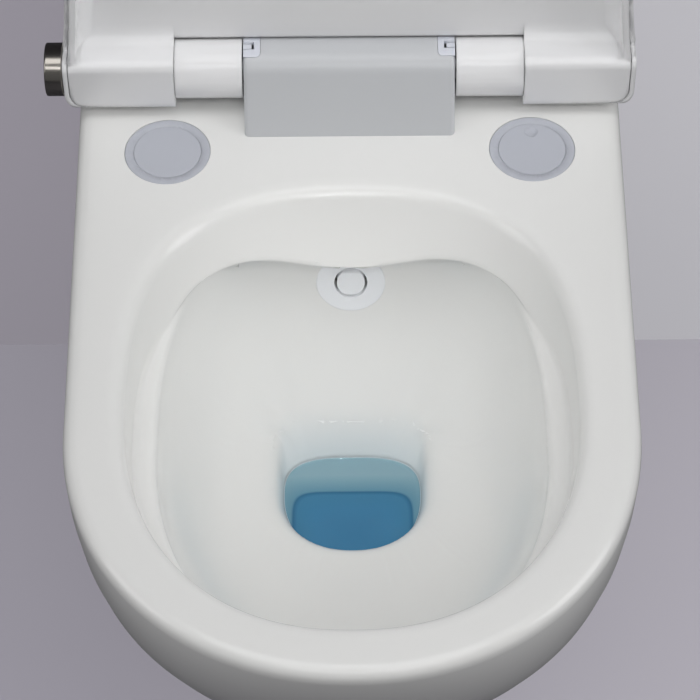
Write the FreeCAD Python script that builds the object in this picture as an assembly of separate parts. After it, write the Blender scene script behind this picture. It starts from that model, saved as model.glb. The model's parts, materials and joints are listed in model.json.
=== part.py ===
import FreeCAD, Part
import math
import os
from FreeCAD import Vector

os.makedirs("parts", exist_ok=True)

# All lengths are millimetres. X runs across, +Y towards the wall and Z up.
# The origin is the middle between the two wall bolt holes on the wall face.

overrun = 2.0                # how far a cutting shape passes the face it cuts
run_gap = 0.35               # clearance between parts that move past each other
fit_gap = 0.05               # radial clearance of a shaft in its bearing
seat_gap = 0.2               # clearance of a part set into a pocket
parallel_share = 0.9         # least cosine for an edge to count as parallel

# Bowl casting, outside
deck_height = 80.0           # deck top above the wall bolts
bowl_height = 350.0
bowl_length = 580.0
half_width_wall = 180.8
half_width_widest = 174.0
widest_reach = 400.0         # widest place of the D, measured from the wall
foot_length = 300.0          # how far the underside reaches from the wall
foot_half_width_wall = 125.0
foot_half_width_front = 118.0
foot_widest_reach = 150.0
hull_front_power = 2.1
hull_sides = 3               # outline points along a side
hull_rounds = 6              # outline points round half of the front
hull_sections = 4
hull_wall = 11.0
underside_wall = 11.0
web_wall = 17.0
deck_slab = 16.0
rim_outer_round = 9.0
rim_inner_round = 8.0
foot_round = 20.0

# Bowl casting, opening and rim wall
rim_width_side = 35.8
rim_width_front = 34.7
deck_reach = 219.6           # deck from the wall to the opening
opening_widest_shift = 15.0
opening_half_width = half_width_widest - rim_width_side
opening_rear_y = -deck_reach
opening_front_y = -(bowl_length - rim_width_front)
opening_widest_y = -(widest_reach - opening_widest_shift)
opening_rear_power = 2.7
opening_front_power = 2.25
rim_lean_side = 3.2          # how far the rim wall leans in down to the ledge
rim_lean_front = 2.8
ledge_depth = 45.0           # ledge below the deck at the widest place
ledge_slope_share = 0.04     # rise of the ledge towards the front
casting_wall = 9.5
visor_depth = 28.4           # slope of the visor in front of the deck edge
visor_peak_x = 81.0
visor_peak_depth = 32.0
visor_arc = 182.0
visor_arch_inset = 3.0       # arches stay inside the wall of the well
visor_lip_y = opening_rear_y - visor_depth
oval_steps = 16

# Bowl casting, well and sump
ledge_width = 13.5
ledge_front_width = 1.5
well_rear_setback = 20.0     # rear wall of the well behind the visor lip
sump_setback = 65.0          # sump in front of the rear wall of the well
sump_length = 85.0
sump_half_width = 49.5
sump_widest_set = 32.0
water_depth = 195.0          # water level below the deck
sump_lip = 20.0              # edge of the sump above the water
sump_floor_rise = 46.0       # floor of the sump over the inside of the underside
sump_floor_half_width = 22.0
sump_floor_length = 46.0
sump_floor_taper = 3.0
well_half_width = opening_half_width - rim_lean_side - ledge_width
well_rear_y = visor_lip_y + well_rear_setback
well_front_y = opening_front_y + rim_lean_front + ledge_front_width
sump_rear_y = well_rear_y - sump_setback
sump_front_y = sump_rear_y - sump_length
sump_widest_y = sump_rear_y - sump_widest_set
sump_edge_depth = water_depth - sump_lip
sump_floor_depth = bowl_height - underside_wall - sump_floor_rise
well_sections = 5
well_rear_power = 3.0
well_front_power = 2.2
well_side_power = 1.7        # bulge of the well from the ledge to the sump
well_step_power = 1.5        # crowds the sections towards the ledge

# Trap passage and outlet
trap_radius = 24.0
trap_start_set = 3.0
trap_low_run = 86.0
trap_climb_run = 71.0
trap_end_y = -46.0
trap_bend = 38.0
outlet_drop = 100.0          # outlet middle below the wall bolts
outlet_radius = 44.0
outlet_flare = 20.0
spigot_radius = 51.0
spigot_groove = 10.0
spigot_length = 32.0
outlet_boss_radius = 70.0
outlet_boss_length = 44.0

# Flush water ways
inlet_rise = 35.0            # flush inlet above the wall bolts
inlet_radius = 27.5
plenum_half_width = 68.0
plenum_half_height = 23.0
plenum_wall = 7.0
plenum_depth = 50.0
duct_wall = 8.0
duct_x = 62.0
duct_drop = 3.0
duct_radius = 11.0
duct_reach = 18.0            # how far a duct runs into the well
plenum_back_y = -web_wall - plenum_wall
plenum_front_y = plenum_back_y - plenum_depth

# Wall fixing and service windows
bolt_spacing = 180.0
bolt_hole_radius = 8.0
bolt_boss_radius = 20.0
bolt_boss_length = 28.0
window_inner_x = 84.0
window_outer_x = 128.0
window_top = -38.0
window_bottom = -150.0
window_corner = 9.0
screw_hole_radius = 2.2
window_screw_margin = 6.0

# Deck wells with round caps
cap_x = 118.4
cap_setback = 33.3           # cap middle behind the deck edge of the opening
cap_y = opening_rear_y + cap_setback
cap_radius = 27.8
cap_flange = 3.0
cap_edge = 0.5
cap_sleeve_radius = 24.8
cap_sleeve_length = 22.0
disc_radius = 21.9
disc_thickness = 3.4
dimple_width = 9.0
dimple_depth = 1.3
dimple_set = 7.2
cup_radius = 21.0
cup_wall = 2.0
cup_depth = 52.0
switch_half = 7.0
switch_long = 10.5
switch_drop = 28.0
switch_rise = 7.0
switch_low_share = 0.4
switch_middle_share = 0.75
switch_pin_radius = 1.2
switch_pin_reach = 1.5

# Hinge line
axis_setback = 82.8          # hinge axis behind the deck edge of the opening
axis_rise = 26.0
axis_y = opening_rear_y + axis_setback
axis_z = deck_height + axis_rise
axle_radius = 8.0
axle_bore = 4.6
hinge_bolt_x = 38.0
hinge_bolt_radius = 4.0
hinge_bolt_hole = 6.5
hinge_head_radius = 7.5
hinge_head_height = 5.0
hinge_nut = 6.3
nut_sides = 6
base_half_width = 65.0
base_front = 28.0
base_rear = 17.0
base_plate = 4.0
cheek_outer_x = 57.0
cheek_thickness = 5.0
cheek_radius = 15.0

# Hinge cover with its two latches
cover_half_width = 68.5
cover_radius = 20.0
cover_foot_reach = 37.2
cover_wall = 2.4
cover_foot_round = 3.0
latch_width = 11.0
latch_thickness = 2.4
latch_corner = 3.2
latch_rear_angle = -50.0
latch_front_angle = 24.0
slot_rear_angle = -12.6
slot_front_angle = 6.9
slot_length = 7.0
tongue_rear_angle = -5.1
tongue_length = 5.4
stem_radius = 1.2
stem_set = 3.9

# Seat and lid, measured from the hinge axis with both closed
lean_angle = 5.0
barrel_radius = 19.5
barrel_end_gap = 0.5
knuckle_inner_x = 113.5
knuckle_half = 19.5
knuckle_corner = 6.5
hinge_corner = 14.0          # rounded outer corner of the lid behind the hinge line
neck_round = 12.0
neck_step = 3.4              # neck narrower than the knuckle, inside the lid skirt
lid_half_width_hinge = 185.0
lid_half_width = 178.0
lid_reach = 452.0
lid_rear_reach = 22.0
lid_thickness = 5.5
lid_skirt_low = 3.0
lid_skirt_wall = 3.0
lid_side_gap = 0.7
lid_edge_round = 4.0
lid_underside = barrel_radius - lid_thickness
seat_inset = lid_skirt_wall + lid_side_gap
knuckle_outer_x = lid_half_width_hinge - seat_inset
seat_half_width = lid_half_width - seat_inset
seat_reach = lid_reach - seat_inset
seat_rear_reach = 19.8
seat_blend_reach = 130.0
seat_widest_reach = 262.0
seat_top = 12.0
seat_skirt = 17.0
seat_skin = 4.5
seat_wall = 4.0
seat_edge_round = 5.0
seat_hole_half_width = 108.0
seat_hole_rear = 98.0
seat_hole_front = 386.0
seat_hole_widest = 236.0
seat_lip_depth = 6.0
seat_front_power = 2.1
panel_sides = 3
panel_rounds = 6
pocket_sections = 4
pocket_round = 14.0
pocket_turn_share = 0.86
bush_radius = 11.0
damper_radius = 13.0
damper_set = 2.0
damper_inner_set = 5.5       # damper clear of the inner end of its knuckle
damper_length = (lid_half_width_hinge - hinge_corner - damper_set - damper_inner_set
                 - knuckle_inner_x)
bumper_radius = 7.5
bumper_shares = [(0.89, 0.335), (0.70, 0.82)]
pad_radius = 6.0
pad_shares = [(0.80, 0.38), (0.55, 0.89)]
axle_half_length = lid_half_width_hinge + seat_gap

# Turning knob at the left end of the hinge line
knob_end_gap = 0.6
knob_length = 12.0
knob_radius = 17.4
knob_edge = 1.2
knob_button_radius = 12.0
knob_button_travel = 1.6
knob_button_thickness = 2.4
knob_shaft_radius = 3.4
knob_shaft_length = 75.6
knob_shaft_grip = 5.4
encoder_length = 8.0
end_cap_radius = 8.0
end_cap_height = 1.4
end_cap_stem = 9.0
knob_inner_x = -(lid_half_width_hinge + knob_end_gap)
knob_outer_x = knob_inner_x - knob_length
knob_shaft_inner_x = knob_inner_x + knob_shaft_length

# Nozzle unit
rosette_set = 5.2            # rosette in front of the rear wall of the well
rosette_drop = 79.0
rosette_radius = 23.0
rosette_thickness = 3.2
rosette_tilt = 16.0
rosette_bore = 11.0
nozzle_tilt = 8.0
nozzle_radius = 9.2
nozzle_tip_length = 16.0
nozzle_duct_radius = 3.0
nozzle_duct_depth = 8.0
arm_length = 132.0
arm_radius = 8.6
guide_wall = 3.4
guide_clearance = 0.5
guide_start = 9.0
guide_length = 128.0
guide_hole_radius = 15.0
guide_hole_reach = 28.5
carrier_half_width = 60.0
carrier_plate = 3.0
carrier_front = 27.0
carrier_rear = 25.0
carrier_web = 7.0
pinion_radius = 9.0
pinion_width = 5.0
pinion_teeth = 12
pinion_back = 58.0           # pinion behind the rosette along the arm
tooth_height = 2.0
tooth_gap = 0.3
tooth_share = 0.3
motor_radius = 12.0
motor_length = 20.0
motor_shaft = 1.6
motor_offset = 10.8
bracket_thickness = 2.6
bracket_drop = 7.2
rosette_centre = Vector(0, well_rear_y - rosette_set, deck_height - rosette_drop)

# Service modules behind the windows
plate_thickness = 3.5
plate_margin = 11.0
plate_foot = 5.5
module_gap = 1.0
module_round = 4.0
screw_head_radius = 4.0
screw_head_height = 2.4
screw_radius = 2.0
screw_grip = 11.5
inlet_set = 22.0             # both connections below the top of the windows
thread_radius = 8.25
thread_start = 2.0
thread_neck_radius = 7.0
thread_bore = 5.0
valve_half = 12.0
valve_length = 34.0
valve_round = 3.0
coil_radius = 8.4
coil_height = 26.4
power_radius = 13.0
power_set = 4.0
power_collar = 4.0
power_well_radius = 9.75
power_floor = 4.0
pin_count = 3
pin_circle = 5.2
pin_radius = 1.0
pin_set = 6.0
heater_length = 70.0
heater_rise = 4.0
heater_height = 34.0
heater_stub_set = 11.0
heater_stub_rise = 24.0
stub_length = 10.0
hose_radius = 4.5
pump_half = 14.0
pump_gap = 4.0
pump_head = 24.0
pump_motor = 46.0
pump_motor_radius = 11.9
box_length = 96.0
box_height = 34.0
box_gap = 1.0
box_side_gap = 4.0
fin_count = 6
fin_depth = 5.0
fin_share = 0.17
fan_radius = 19.0
fan_gap = 3.0
fan_depth = 30.0
fan_shaft = 1.5
fan_wall = 2.0
fan_eye = 9.0
fan_spout = 8.0
fan_spout_reach = 25.0
blade_count = 9
blade_start_share = 0.55
blade_end_share = 0.97
hub_share = 0.8
inlet_z = window_top - inlet_set
module_y = -web_wall - plate_thickness
module_x = (window_inner_x + window_outer_x) / 2
heater_low = window_bottom + heater_rise
pump_z = heater_low + heater_height + pump_gap + pump_half
box_high = inlet_z - power_radius - power_collar - box_gap
fan_z = box_high - box_height - fan_gap - fan_radius

# Seals on the wall side
seal_gap = 6.0
seal_length = 12.0
seal_wall = 5.0


def block(x0, x1, y0, y1, z0, z1):
    """Upright box between two opposite corners."""
    low = Vector(min(x0, x1), min(y0, y1), min(z0, z1))
    return Part.makeBox(abs(x1 - x0), abs(y1 - y0), abs(z1 - z0), low)


def rod(radius, start, end):
    """Round bar between two points."""
    along = end.sub(start)
    return Part.makeCylinder(radius, along.Length, start, along)


def pipe(outer, inner, start, end):
    """Round tube between two points."""
    along = end.sub(start)
    along.normalize()
    reach = along * overrun
    return rod(outer, start, end).cut(rod(inner, start.sub(reach), end.add(reach)))


def fuse_all(shapes):
    """One shape out of several that touch."""
    first = shapes[0]
    if len(shapes) > 1:
        first = first.multiFuse(shapes[1:])
    return first.removeSplitter()


def cut_all(body, shapes):
    """Body less each of several shapes."""
    for shape in shapes:
        body = body.cut(shape)
    return body


def edges_along(shape, direction):
    """Edges of a box that run along a direction."""
    return [edge for edge in shape.Edges
            if abs(edge.tangentAt(edge.FirstParameter).dot(direction)) > parallel_share]


def edges_at(shape, height, shortest):
    """Level edges at one height that are longer than a given length."""
    found = []
    for edge in shape.Edges:
        box = edge.BoundBox
        level = box.ZMax - box.ZMin < seat_gap and abs(box.ZMax - height) < seat_gap
        if level and edge.Length > shortest:
            found.append(edge)
    return found


def rounded_block(x0, x1, y0, y1, z0, z1, radius):
    """Box with its four edges along Y rounded."""
    body = block(x0, x1, y0, y1, z0, z1)
    return body.makeFillet(radius, edges_along(body, Vector(0, 1, 0)))


def save(name, shape):
    """Write one part and name what is wrong with it, if anything."""
    if not shape.isValid() or shape.Volume <= 0:
        print("check", name, shape.isValid(), shape.Volume)
    shape.exportStep("parts/" + name + ".step")
    print(name, len(shape.Solids), round(shape.Volume))


def powered(value, power):
    """Signed power, for superellipse outlines."""
    return math.copysign(abs(value) ** power, value)


def oval(half_width, rear_y, front_y, middle_y, height, rear_power, front_power, slope=0):
    """Closed egg outline with its own roundness at the rear and at the front."""
    points = []
    for step in range(oval_steps):
        turn = 2 * math.pi * step / oval_steps
        rear = math.cos(turn) >= 0
        power = rear_power if rear else front_power
        reach = rear_y - middle_y if rear else middle_y - front_y
        x = half_width * powered(math.sin(turn), 2 / power)
        y = middle_y + reach * powered(math.cos(turn), 2 / power)
        points.append(Vector(x, y, height - slope * (y - middle_y)))
    curve = Part.BSplineCurve()
    curve.interpolate(points, PeriodicFlag=True)
    return Part.Wire([curve.toShape()])


def mirrored_outline(half):
    """Wire through half an outline and its mirror image, closed by a straight back."""
    points = half + [Vector(-point.x, point.y, point.z) for point in reversed(half[:-1])]
    curve = Part.BSplineCurve()
    curve.interpolate(points)
    return Part.Wire([curve.toShape(), Part.makeLine(points[-1], points[0])])


def hull_outline(inset, drop):
    """D shaped outline of the casting at a drop below the deck."""
    fullness = 1 - (drop / bowl_height) ** 2
    wall_x = foot_half_width_wall + (half_width_wall - foot_half_width_wall) * fullness - inset
    side_x = foot_half_width_front + (half_width_widest - foot_half_width_front) * fullness
    side_x = side_x - inset
    front = foot_length + (bowl_length - foot_length) * fullness - inset
    middle = foot_widest_reach + (widest_reach - foot_widest_reach) * fullness
    height = deck_height - drop
    half = []
    for step in range(hull_sides):
        along = step / hull_sides
        half.append(Vector(wall_x + (side_x - wall_x) * along,
                           overrun - (middle + overrun) * along, height))
    for step in range(hull_rounds + 1):
        turn = math.pi / 2 * step / hull_rounds
        x = side_x * powered(math.cos(turn), 2 / hull_front_power)
        y = -middle - (front - middle) * powered(math.sin(turn), 2 / hull_front_power)
        half.append(Vector(x, y, height))
    return mirrored_outline(half)


def hull(inset, top_drop, bottom_drop):
    """Outside form of the casting, or its hollow when inset."""
    sections = []
    for step in range(hull_sections):
        drop = top_drop + (bottom_drop - top_drop) * step / (hull_sections - 1)
        sections.append(hull_outline(inset, drop))
    return Part.makeLoft(sections, True, False)


def rim_space(grow):
    """Space between the opening and the ledge, with the sloping visor at the rear."""
    deck = deck_height + (overrun if grow == 0 else 0)
    top = oval(opening_half_width + grow, opening_rear_y + grow, opening_front_y - grow,
               opening_widest_y, deck, opening_rear_power, opening_front_power)
    low = oval(opening_half_width - rim_lean_side + grow, visor_lip_y + grow,
               opening_front_y + rim_lean_front - grow, opening_widest_y,
               deck_height - ledge_depth - grow,
               opening_rear_power, opening_front_power, ledge_slope_share)
    return Part.makeLoft([top, low], True, True)


def well_space(grow, lift=0):
    """Well from the ledge down to the edge of the sump."""
    top = deck_height - ledge_depth + lift
    low = deck_height - sump_edge_depth
    sections = []
    for step in range(well_sections):
        share = 1 - (1 - step / (well_sections - 1)) ** well_step_power
        full = (1 - share ** well_side_power) ** (1 / well_side_power)
        width = sump_half_width + (well_half_width - sump_half_width) * full
        rear = sump_rear_y + (well_rear_y - sump_rear_y) * full
        front = sump_front_y + (well_front_y - sump_front_y) * full
        middle = sump_widest_y + (opening_widest_y - sump_widest_y) * full
        sections.append(oval(width + grow, rear + grow, front - grow, middle,
                             top + (low - top) * share, well_rear_power, well_front_power,
                             ledge_slope_share * (1 - share)))
    return Part.makeLoft(sections, True, False)


def sump_space(grow):
    """Sump under the well, down to the floor of the trap."""
    top = deck_height - sump_edge_depth
    floor = deck_height - sump_floor_depth - grow
    floor_rear = sump_rear_y - sump_floor_taper
    floor_front = floor_rear - sump_floor_length
    first = oval(sump_half_width + grow, sump_rear_y + grow, sump_front_y - grow,
                 sump_widest_y, top, well_rear_power, well_front_power)
    last = oval(sump_floor_half_width + grow, floor_rear + grow, floor_front - grow,
                sump_widest_y, floor, well_rear_power, well_front_power)
    middle = oval((sump_half_width * 2 + sump_floor_half_width) / 3 + grow,
                  sump_rear_y + grow, (sump_front_y * 2 + floor_front) / 3 - grow,
                  sump_widest_y, (top + floor) / 2, well_rear_power, well_front_power)
    return Part.makeLoft([first, middle, last], True, False)


def rounded_path(corners, bend):
    """Path of straight runs joined by tangent arcs."""
    edges = []
    start = corners[0]
    for index in range(1, len(corners) - 1):
        here = corners[index]
        before = corners[index - 1].sub(here)
        after = corners[index + 1].sub(here)
        before.normalize()
        after.normalize()
        angle = before.getAngle(after)
        back = bend / math.tan(angle / 2)
        first = here.add(before * back)
        last = here.add(after * back)
        half = before.add(after)
        half.normalize()
        centre = here.add(half * (bend / math.sin(angle / 2)))
        inward = here.sub(centre)
        inward.normalize()
        edges.append(Part.makeLine(start, first))
        edges.append(Part.Arc(first, centre.add(inward * bend), last).toShape())
        start = last
    edges.append(Part.makeLine(start, corners[-1]))
    return Part.Wire(edges)


def swept(path, radius):
    """Round section swept along a path."""
    first = path.Edges[0]
    start = first.valueAt(first.FirstParameter)
    along = first.tangentAt(first.FirstParameter)
    circle = Part.Wire([Part.makeCircle(radius, start, along)])
    return path.makePipeShell([circle], True, False)


def trap_passage(grow):
    """Trap from the sump over the weir to the outlet."""
    low = deck_height - sump_floor_depth + trap_radius
    crest = deck_height - water_depth + trap_radius
    start_y = sump_widest_y + trap_start_set
    rise_y = start_y + trap_low_run
    crest_y = rise_y + trap_climb_run
    flare_y = trap_end_y - outlet_flare
    corners = [Vector(0, start_y, low), Vector(0, rise_y, low),
               Vector(0, crest_y, crest), Vector(0, trap_end_y, -outlet_drop)]
    run = swept(rounded_path(corners, trap_bend), trap_radius + grow)
    back = Vector(0, 1, 0)
    flare = Part.makeCone(trap_radius + grow, outlet_radius + grow, outlet_flare + overrun,
                          Vector(0, flare_y, -outlet_drop), back)
    mouth = Part.makeCylinder(outlet_radius + grow, -trap_end_y + overrun,
                              Vector(0, trap_end_y, -outlet_drop), back)
    return [run, flare, mouth]


def flush_ducts(grow):
    """Cross chamber behind the flush inlet and the two ducts to the well."""
    chamber = block(-plenum_half_width - grow, plenum_half_width + grow,
                    plenum_front_y - grow, plenum_back_y,
                    inlet_rise - plenum_half_height - grow,
                    inlet_rise + plenum_half_height + grow)
    middle_y = (plenum_front_y + plenum_back_y) / 2
    inlet = rod(inlet_radius + grow, Vector(0, overrun, inlet_rise),
                Vector(0, middle_y, inlet_rise))
    parts = [chamber, inlet]
    duct_z = inlet_rise - duct_drop
    for side in (-1, 1):
        parts.append(rod(duct_radius + grow, Vector(side * duct_x, middle_y, duct_z),
                         Vector(side * duct_x, well_rear_y - duct_reach, duct_z)))
    return parts


def visor_scallops():
    """Two shallow arches under the visor, over the flush outlets."""
    low = deck_height - ledge_depth
    inset = visor_arch_inset
    outline = oval(well_half_width - inset, well_rear_y - inset, well_front_y + inset,
                   opening_widest_y, low - ledge_depth / 3, well_rear_power, well_front_power)
    prism = Part.Face(outline).extrude(Vector(0, 0, ledge_depth))
    arches = []
    for side in (-1, 1):
        height = deck_height - visor_peak_depth - visor_arc
        arch = rod(visor_arc, Vector(side * visor_peak_x, well_rear_y + overrun, height),
                   Vector(side * visor_peak_x, visor_lip_y - casting_wall * 2, height))
        arches.append(prism.common(arch))
    return arches


def nozzle_direction():
    """Unit vector of the nozzle stroke, out of the wall and slightly down."""
    angle = math.radians(nozzle_tilt)
    return Vector(0, -math.cos(angle), -math.sin(angle))


def nozzle_down():
    """Unit vector across the nozzle line, downwards."""
    angle = math.radians(nozzle_tilt)
    return Vector(0, math.sin(angle), -math.cos(angle))


def rosette_direction():
    """Unit vector of the rosette face, out of the wall and slightly up."""
    angle = math.radians(rosette_tilt)
    return Vector(0, -math.cos(angle), math.sin(angle))


def along_nozzle(distance):
    """Point on the nozzle line, negative towards the wall."""
    return rosette_centre.add(nozzle_direction() * distance)


def window(side):
    """Service window through the rear web."""
    return rounded_block(side * window_inner_x, side * window_outer_x, -web_wall - overrun,
                         overrun, window_bottom, window_top, window_corner)


def window_screws(side):
    """Middles of the four screws of one service plate."""
    return [(side * x, z)
            for x in (window_inner_x - window_screw_margin, window_outer_x + window_screw_margin)
            for z in (window_bottom, window_top)]


def bowl_outside():
    """Outer body of the casting with its rounded rims and its flat wall face."""
    body = hull(0, 0, bowl_height).cut(rim_space(0))
    outer = [edge for edge in edges_at(body, deck_height, bowl_length)
             if edge.BoundBox.YMax > -overrun]
    body = body.makeFillet(rim_outer_round, outer)
    body = body.makeFillet(foot_round, edges_at(body, deck_height - bowl_height, foot_length))
    inner = [edge for edge in edges_at(body, deck_height, bowl_length)
             if edge.BoundBox.YMax < opening_rear_y + overrun]
    body = body.makeFillet(rim_inner_round, inner)
    return body.cut(block(-bowl_length, bowl_length, 0, overrun * 2,
                          deck_height - bowl_height - overrun, deck_height + overrun))


def bowl_hollow():
    """Hollow inside the hull, less the walls of everything that runs through it."""
    hollow = hull(hull_wall, deck_slab, bowl_height - underside_wall)
    hollow = hollow.common(block(-bowl_length, bowl_length, -bowl_length, -web_wall,
                                 -bowl_height, deck_height))
    walls = [rim_space(casting_wall), well_space(casting_wall), sump_space(casting_wall)]
    walls += trap_passage(casting_wall)
    walls += flush_ducts(duct_wall)
    walls.append(rod(outlet_boss_radius, Vector(0, 0, -outlet_drop),
                     Vector(0, -outlet_boss_length, -outlet_drop)))
    for side in (-1, 1):
        bolt = Vector(side * bolt_spacing / 2, 0, 0)
        walls.append(rod(bolt_boss_radius, bolt, bolt.add(Vector(0, -bolt_boss_length, 0))))
    back = rosette_direction() * (casting_wall + rosette_thickness)
    walls.append(rod(rosette_radius + casting_wall, rosette_centre.sub(back), rosette_centre))
    return cut_all(hollow, walls)


def deck_holes(side):
    """Holes through the deck for one cap and one hinge bolt."""
    cap = Vector(side * cap_x, cap_y, deck_height)
    hinge = Vector(side * hinge_bolt_x, axis_y, deck_height)
    up = Vector(0, 0, overrun)
    down = Vector(0, 0, -deck_slab - overrun)
    return [rod(cap_radius + seat_gap, cap.add(Vector(0, 0, -cap_flange - fit_gap)), cap.add(up)),
            rod(cap_sleeve_radius + seat_gap, cap.add(down), cap.add(up)),
            rod(hinge_bolt_hole, hinge.add(down), hinge.add(up))]


def bowl():
    """Glazed casting with hull, well, visor, sump, trap and water ways."""
    body = bowl_outside().cut(bowl_hollow())
    face = rosette_direction()
    spaces = [well_space(0, overrun / 4), sump_space(0)]
    spaces += trap_passage(0)
    spaces += flush_ducts(0)
    spaces += visor_scallops()
    spaces.append(pipe(spigot_radius + spigot_groove, spigot_radius,
                       Vector(0, overrun, -outlet_drop),
                       Vector(0, -spigot_length, -outlet_drop)))
    spaces.append(rod(rosette_radius + seat_gap, rosette_centre.sub(face * rosette_thickness),
                      rosette_centre.add(face * rosette_radius)))
    spaces.append(rod(guide_hole_radius, along_nozzle(-guide_hole_reach),
                      along_nozzle(guide_start / 2)))
    for side in (-1, 1):
        spaces.append(window(side))
        bolt_x = side * bolt_spacing / 2
        spaces.append(rod(bolt_hole_radius, Vector(bolt_x, overrun, 0),
                          Vector(bolt_x, -bolt_boss_length - overrun, 0)))
        spaces += deck_holes(side)
        for x, z in window_screws(side):
            spaces.append(rod(screw_hole_radius, Vector(x, overrun, z),
                              Vector(x, -web_wall - overrun, z)))
    return cut_all(body, spaces)


def closed_point(reach, rise, x=0):
    """Point given by its reach in front of the hinge axis and its height over it."""
    return Vector(x, axis_y - reach, axis_z + rise)


def axis_rod(radius, x0, x1):
    """Round bar along the hinge axis."""
    return rod(radius, closed_point(0, 0, x0), closed_point(0, 0, x1))


def closed_block(x0, x1, near, far, low, high):
    """Box between two reaches and two rises of the closed seat or lid."""
    return block(x0, x1, axis_y - near, axis_y - far, axis_z + low, axis_z + high)


def raised(shape):
    """Turn a shape from its closed place up to its rest on the stop."""
    turned = shape.copy()
    turned.rotate(Vector(0, axis_y, axis_z), Vector(1, 0, 0), -(90 + lean_angle))
    return turned


def panel_outline(hinge_width, width, front, rear, rise):
    """Plan outline of the seat or the lid, straight at the hinge and round in front."""
    half = []
    for step in range(panel_sides):
        reach = rear + (seat_widest_reach - rear) * step / panel_sides
        left = max(0, 1 - (reach - rear) / (seat_blend_reach - rear)) ** 2
        half.append(closed_point(reach, rise, width + (hinge_width - width) * left))
    for step in range(panel_rounds + 1):
        turn = math.pi / 2 * step / panel_rounds
        along = powered(math.sin(turn), 2 / seat_front_power)
        half.append(closed_point(seat_widest_reach + (front - seat_widest_reach) * along, rise,
                                 width * powered(math.cos(turn), 2 / seat_front_power)))
    return mirrored_outline(half)


def panel(hinge_width, width, front, rear, low, high):
    """Slab of the seat or lid form between two heights."""
    outline = panel_outline(hinge_width, width, front, rear, low)
    return Part.Face(outline).extrude(Vector(0, 0, high - low))


def seat_hole(grow, low, high):
    """Opening of the seat ring."""
    outline = oval(seat_hole_half_width + grow, axis_y - seat_hole_rear + grow,
                   axis_y - seat_hole_front - grow, axis_y - seat_hole_widest,
                   axis_z + low, seat_front_power, seat_front_power)
    return Part.Face(outline).extrude(Vector(0, 0, high - low))


def seat_pocket():
    """Hollow under the seat ring with side walls that curve in, open at the rear."""
    low = -seat_skirt - overrun
    depth = seat_top - seat_skin - low
    last = math.pi / 2 * pocket_turn_share
    sections = []
    for step in range(pocket_sections):
        turn = last * step / (pocket_sections - 1)
        inset = seat_wall + pocket_round * (1 - math.cos(turn))
        sections.append(panel_outline(knuckle_outer_x - inset, seat_half_width - inset,
                                      seat_reach - inset, seat_rear_reach - overrun,
                                      low + depth * math.sin(turn) / math.sin(last)))
    return Part.makeLoft(sections, True, False)


def square_bar(x0, x1):
    """Bar of rounded square section along the hinge axis."""
    half = knuckle_half
    body = closed_block(x0, x1, half, -half, -half, half)
    return body.makeFillet(knuckle_corner, edges_along(body, Vector(1, 0, 0)))


def end_room(side, inset):
    """Room inside the rounded outer corner of the closed lid behind the hinge line."""
    start = lid_half_width_hinge - hinge_corner
    body = closed_block(side * start, side * (lid_half_width_hinge - inset),
                        knuckle_half + overrun, inset - knuckle_half,
                        -knuckle_half - overrun, knuckle_half + overrun)
    corner = [edge for edge in edges_along(body, Vector(0, 0, 1))
              if edge.CenterOfMass.y > axis_y and abs(edge.CenterOfMass.x) > start + overrun]
    return body.makeFillet(hinge_corner - inset - fit_gap, corner)


def knuckle(side):
    """Hinge knuckle of the seat with its neck, its end set inside the lid's corner."""
    corner_x = side * (lid_half_width_hinge - hinge_corner)
    inner = side * knuckle_inner_x
    outer = side * knuckle_outer_x
    bar = square_bar(inner, corner_x)
    end = square_bar(corner_x, outer).common(end_room(side, seat_inset))
    low = seat_top - seat_skin - neck_round
    far = knuckle_half + neck_round
    neck_x = outer - side * neck_step
    neck = closed_block(inner, neck_x, 0, far, low, seat_top)
    neck = neck.cut(rod(neck_round, closed_point(far, low, inner - side * overrun),
                        closed_point(far, low, neck_x + side * overrun)))
    cheek = closed_block(outer - side * seat_wall * 2, outer, 0, seat_rear_reach + overrun,
                         -seat_skirt, seat_top)
    return [bar, end, neck, cheek]


def damper_place(side):
    """Inner and outer end of the damper room in a knuckle."""
    outer = lid_half_width_hinge - hinge_corner - damper_set
    return side * (outer - damper_length), side * outer


def bumper_boss(x, reach):
    """Boss under the seat ring that holds a soft foot."""
    return rod(bumper_radius + overrun / 2, closed_point(reach, -seat_skirt + overrun, x),
               closed_point(reach, seat_top - seat_skin / 2, x))


def bumper_places(side, shares):
    """Places on the seat ring, given as shares of its half width and reach."""
    return [(side * across * seat_half_width, along * seat_reach) for across, along in shares]


def seat():
    """Seat ring as a thin moulding, hollow underneath, with its two hinge knuckles."""
    outer = panel(knuckle_outer_x, seat_half_width, seat_reach, seat_rear_reach,
                  -seat_skirt, seat_top)
    outer = outer.makeFillet(seat_edge_round, edges_at(outer, axis_z + seat_top, seat_reach))
    lip = seat_hole(seat_wall, -seat_lip_depth, seat_top)
    body = outer.cut(seat_pocket().cut(lip))
    body = body.cut(seat_hole(0, -seat_skirt - overrun, seat_top + overrun))
    joined = [body]
    for side in (-1, 1):
        joined += knuckle(side)
        joined += [bumper_boss(x, reach) for x, reach in bumper_places(side, bumper_shares)]
    body = fuse_all(joined)
    for side in (-1, 1):
        body = body.cut(axis_rod(axle_radius + run_gap * 2, side * (knuckle_inner_x - overrun),
                                 side * (knuckle_outer_x + overrun)))
        body = body.cut(axis_rod(damper_radius, *damper_place(side)))
    return body


def lid_ear(side):
    """Rounded end of the lid that wraps the seat knuckle and holds the axle end."""
    outer = side * lid_half_width_hinge
    bar = square_bar(outer - side * hinge_corner, outer)
    shell = bar.common(end_room(side, 0)).cut(end_room(side, lid_skirt_wall))
    wall = closed_block(outer - side * lid_skirt_wall, outer, 0, lid_rear_reach + overrun,
                        -lid_skirt_low, barrel_radius)
    return [shell, wall]


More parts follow.
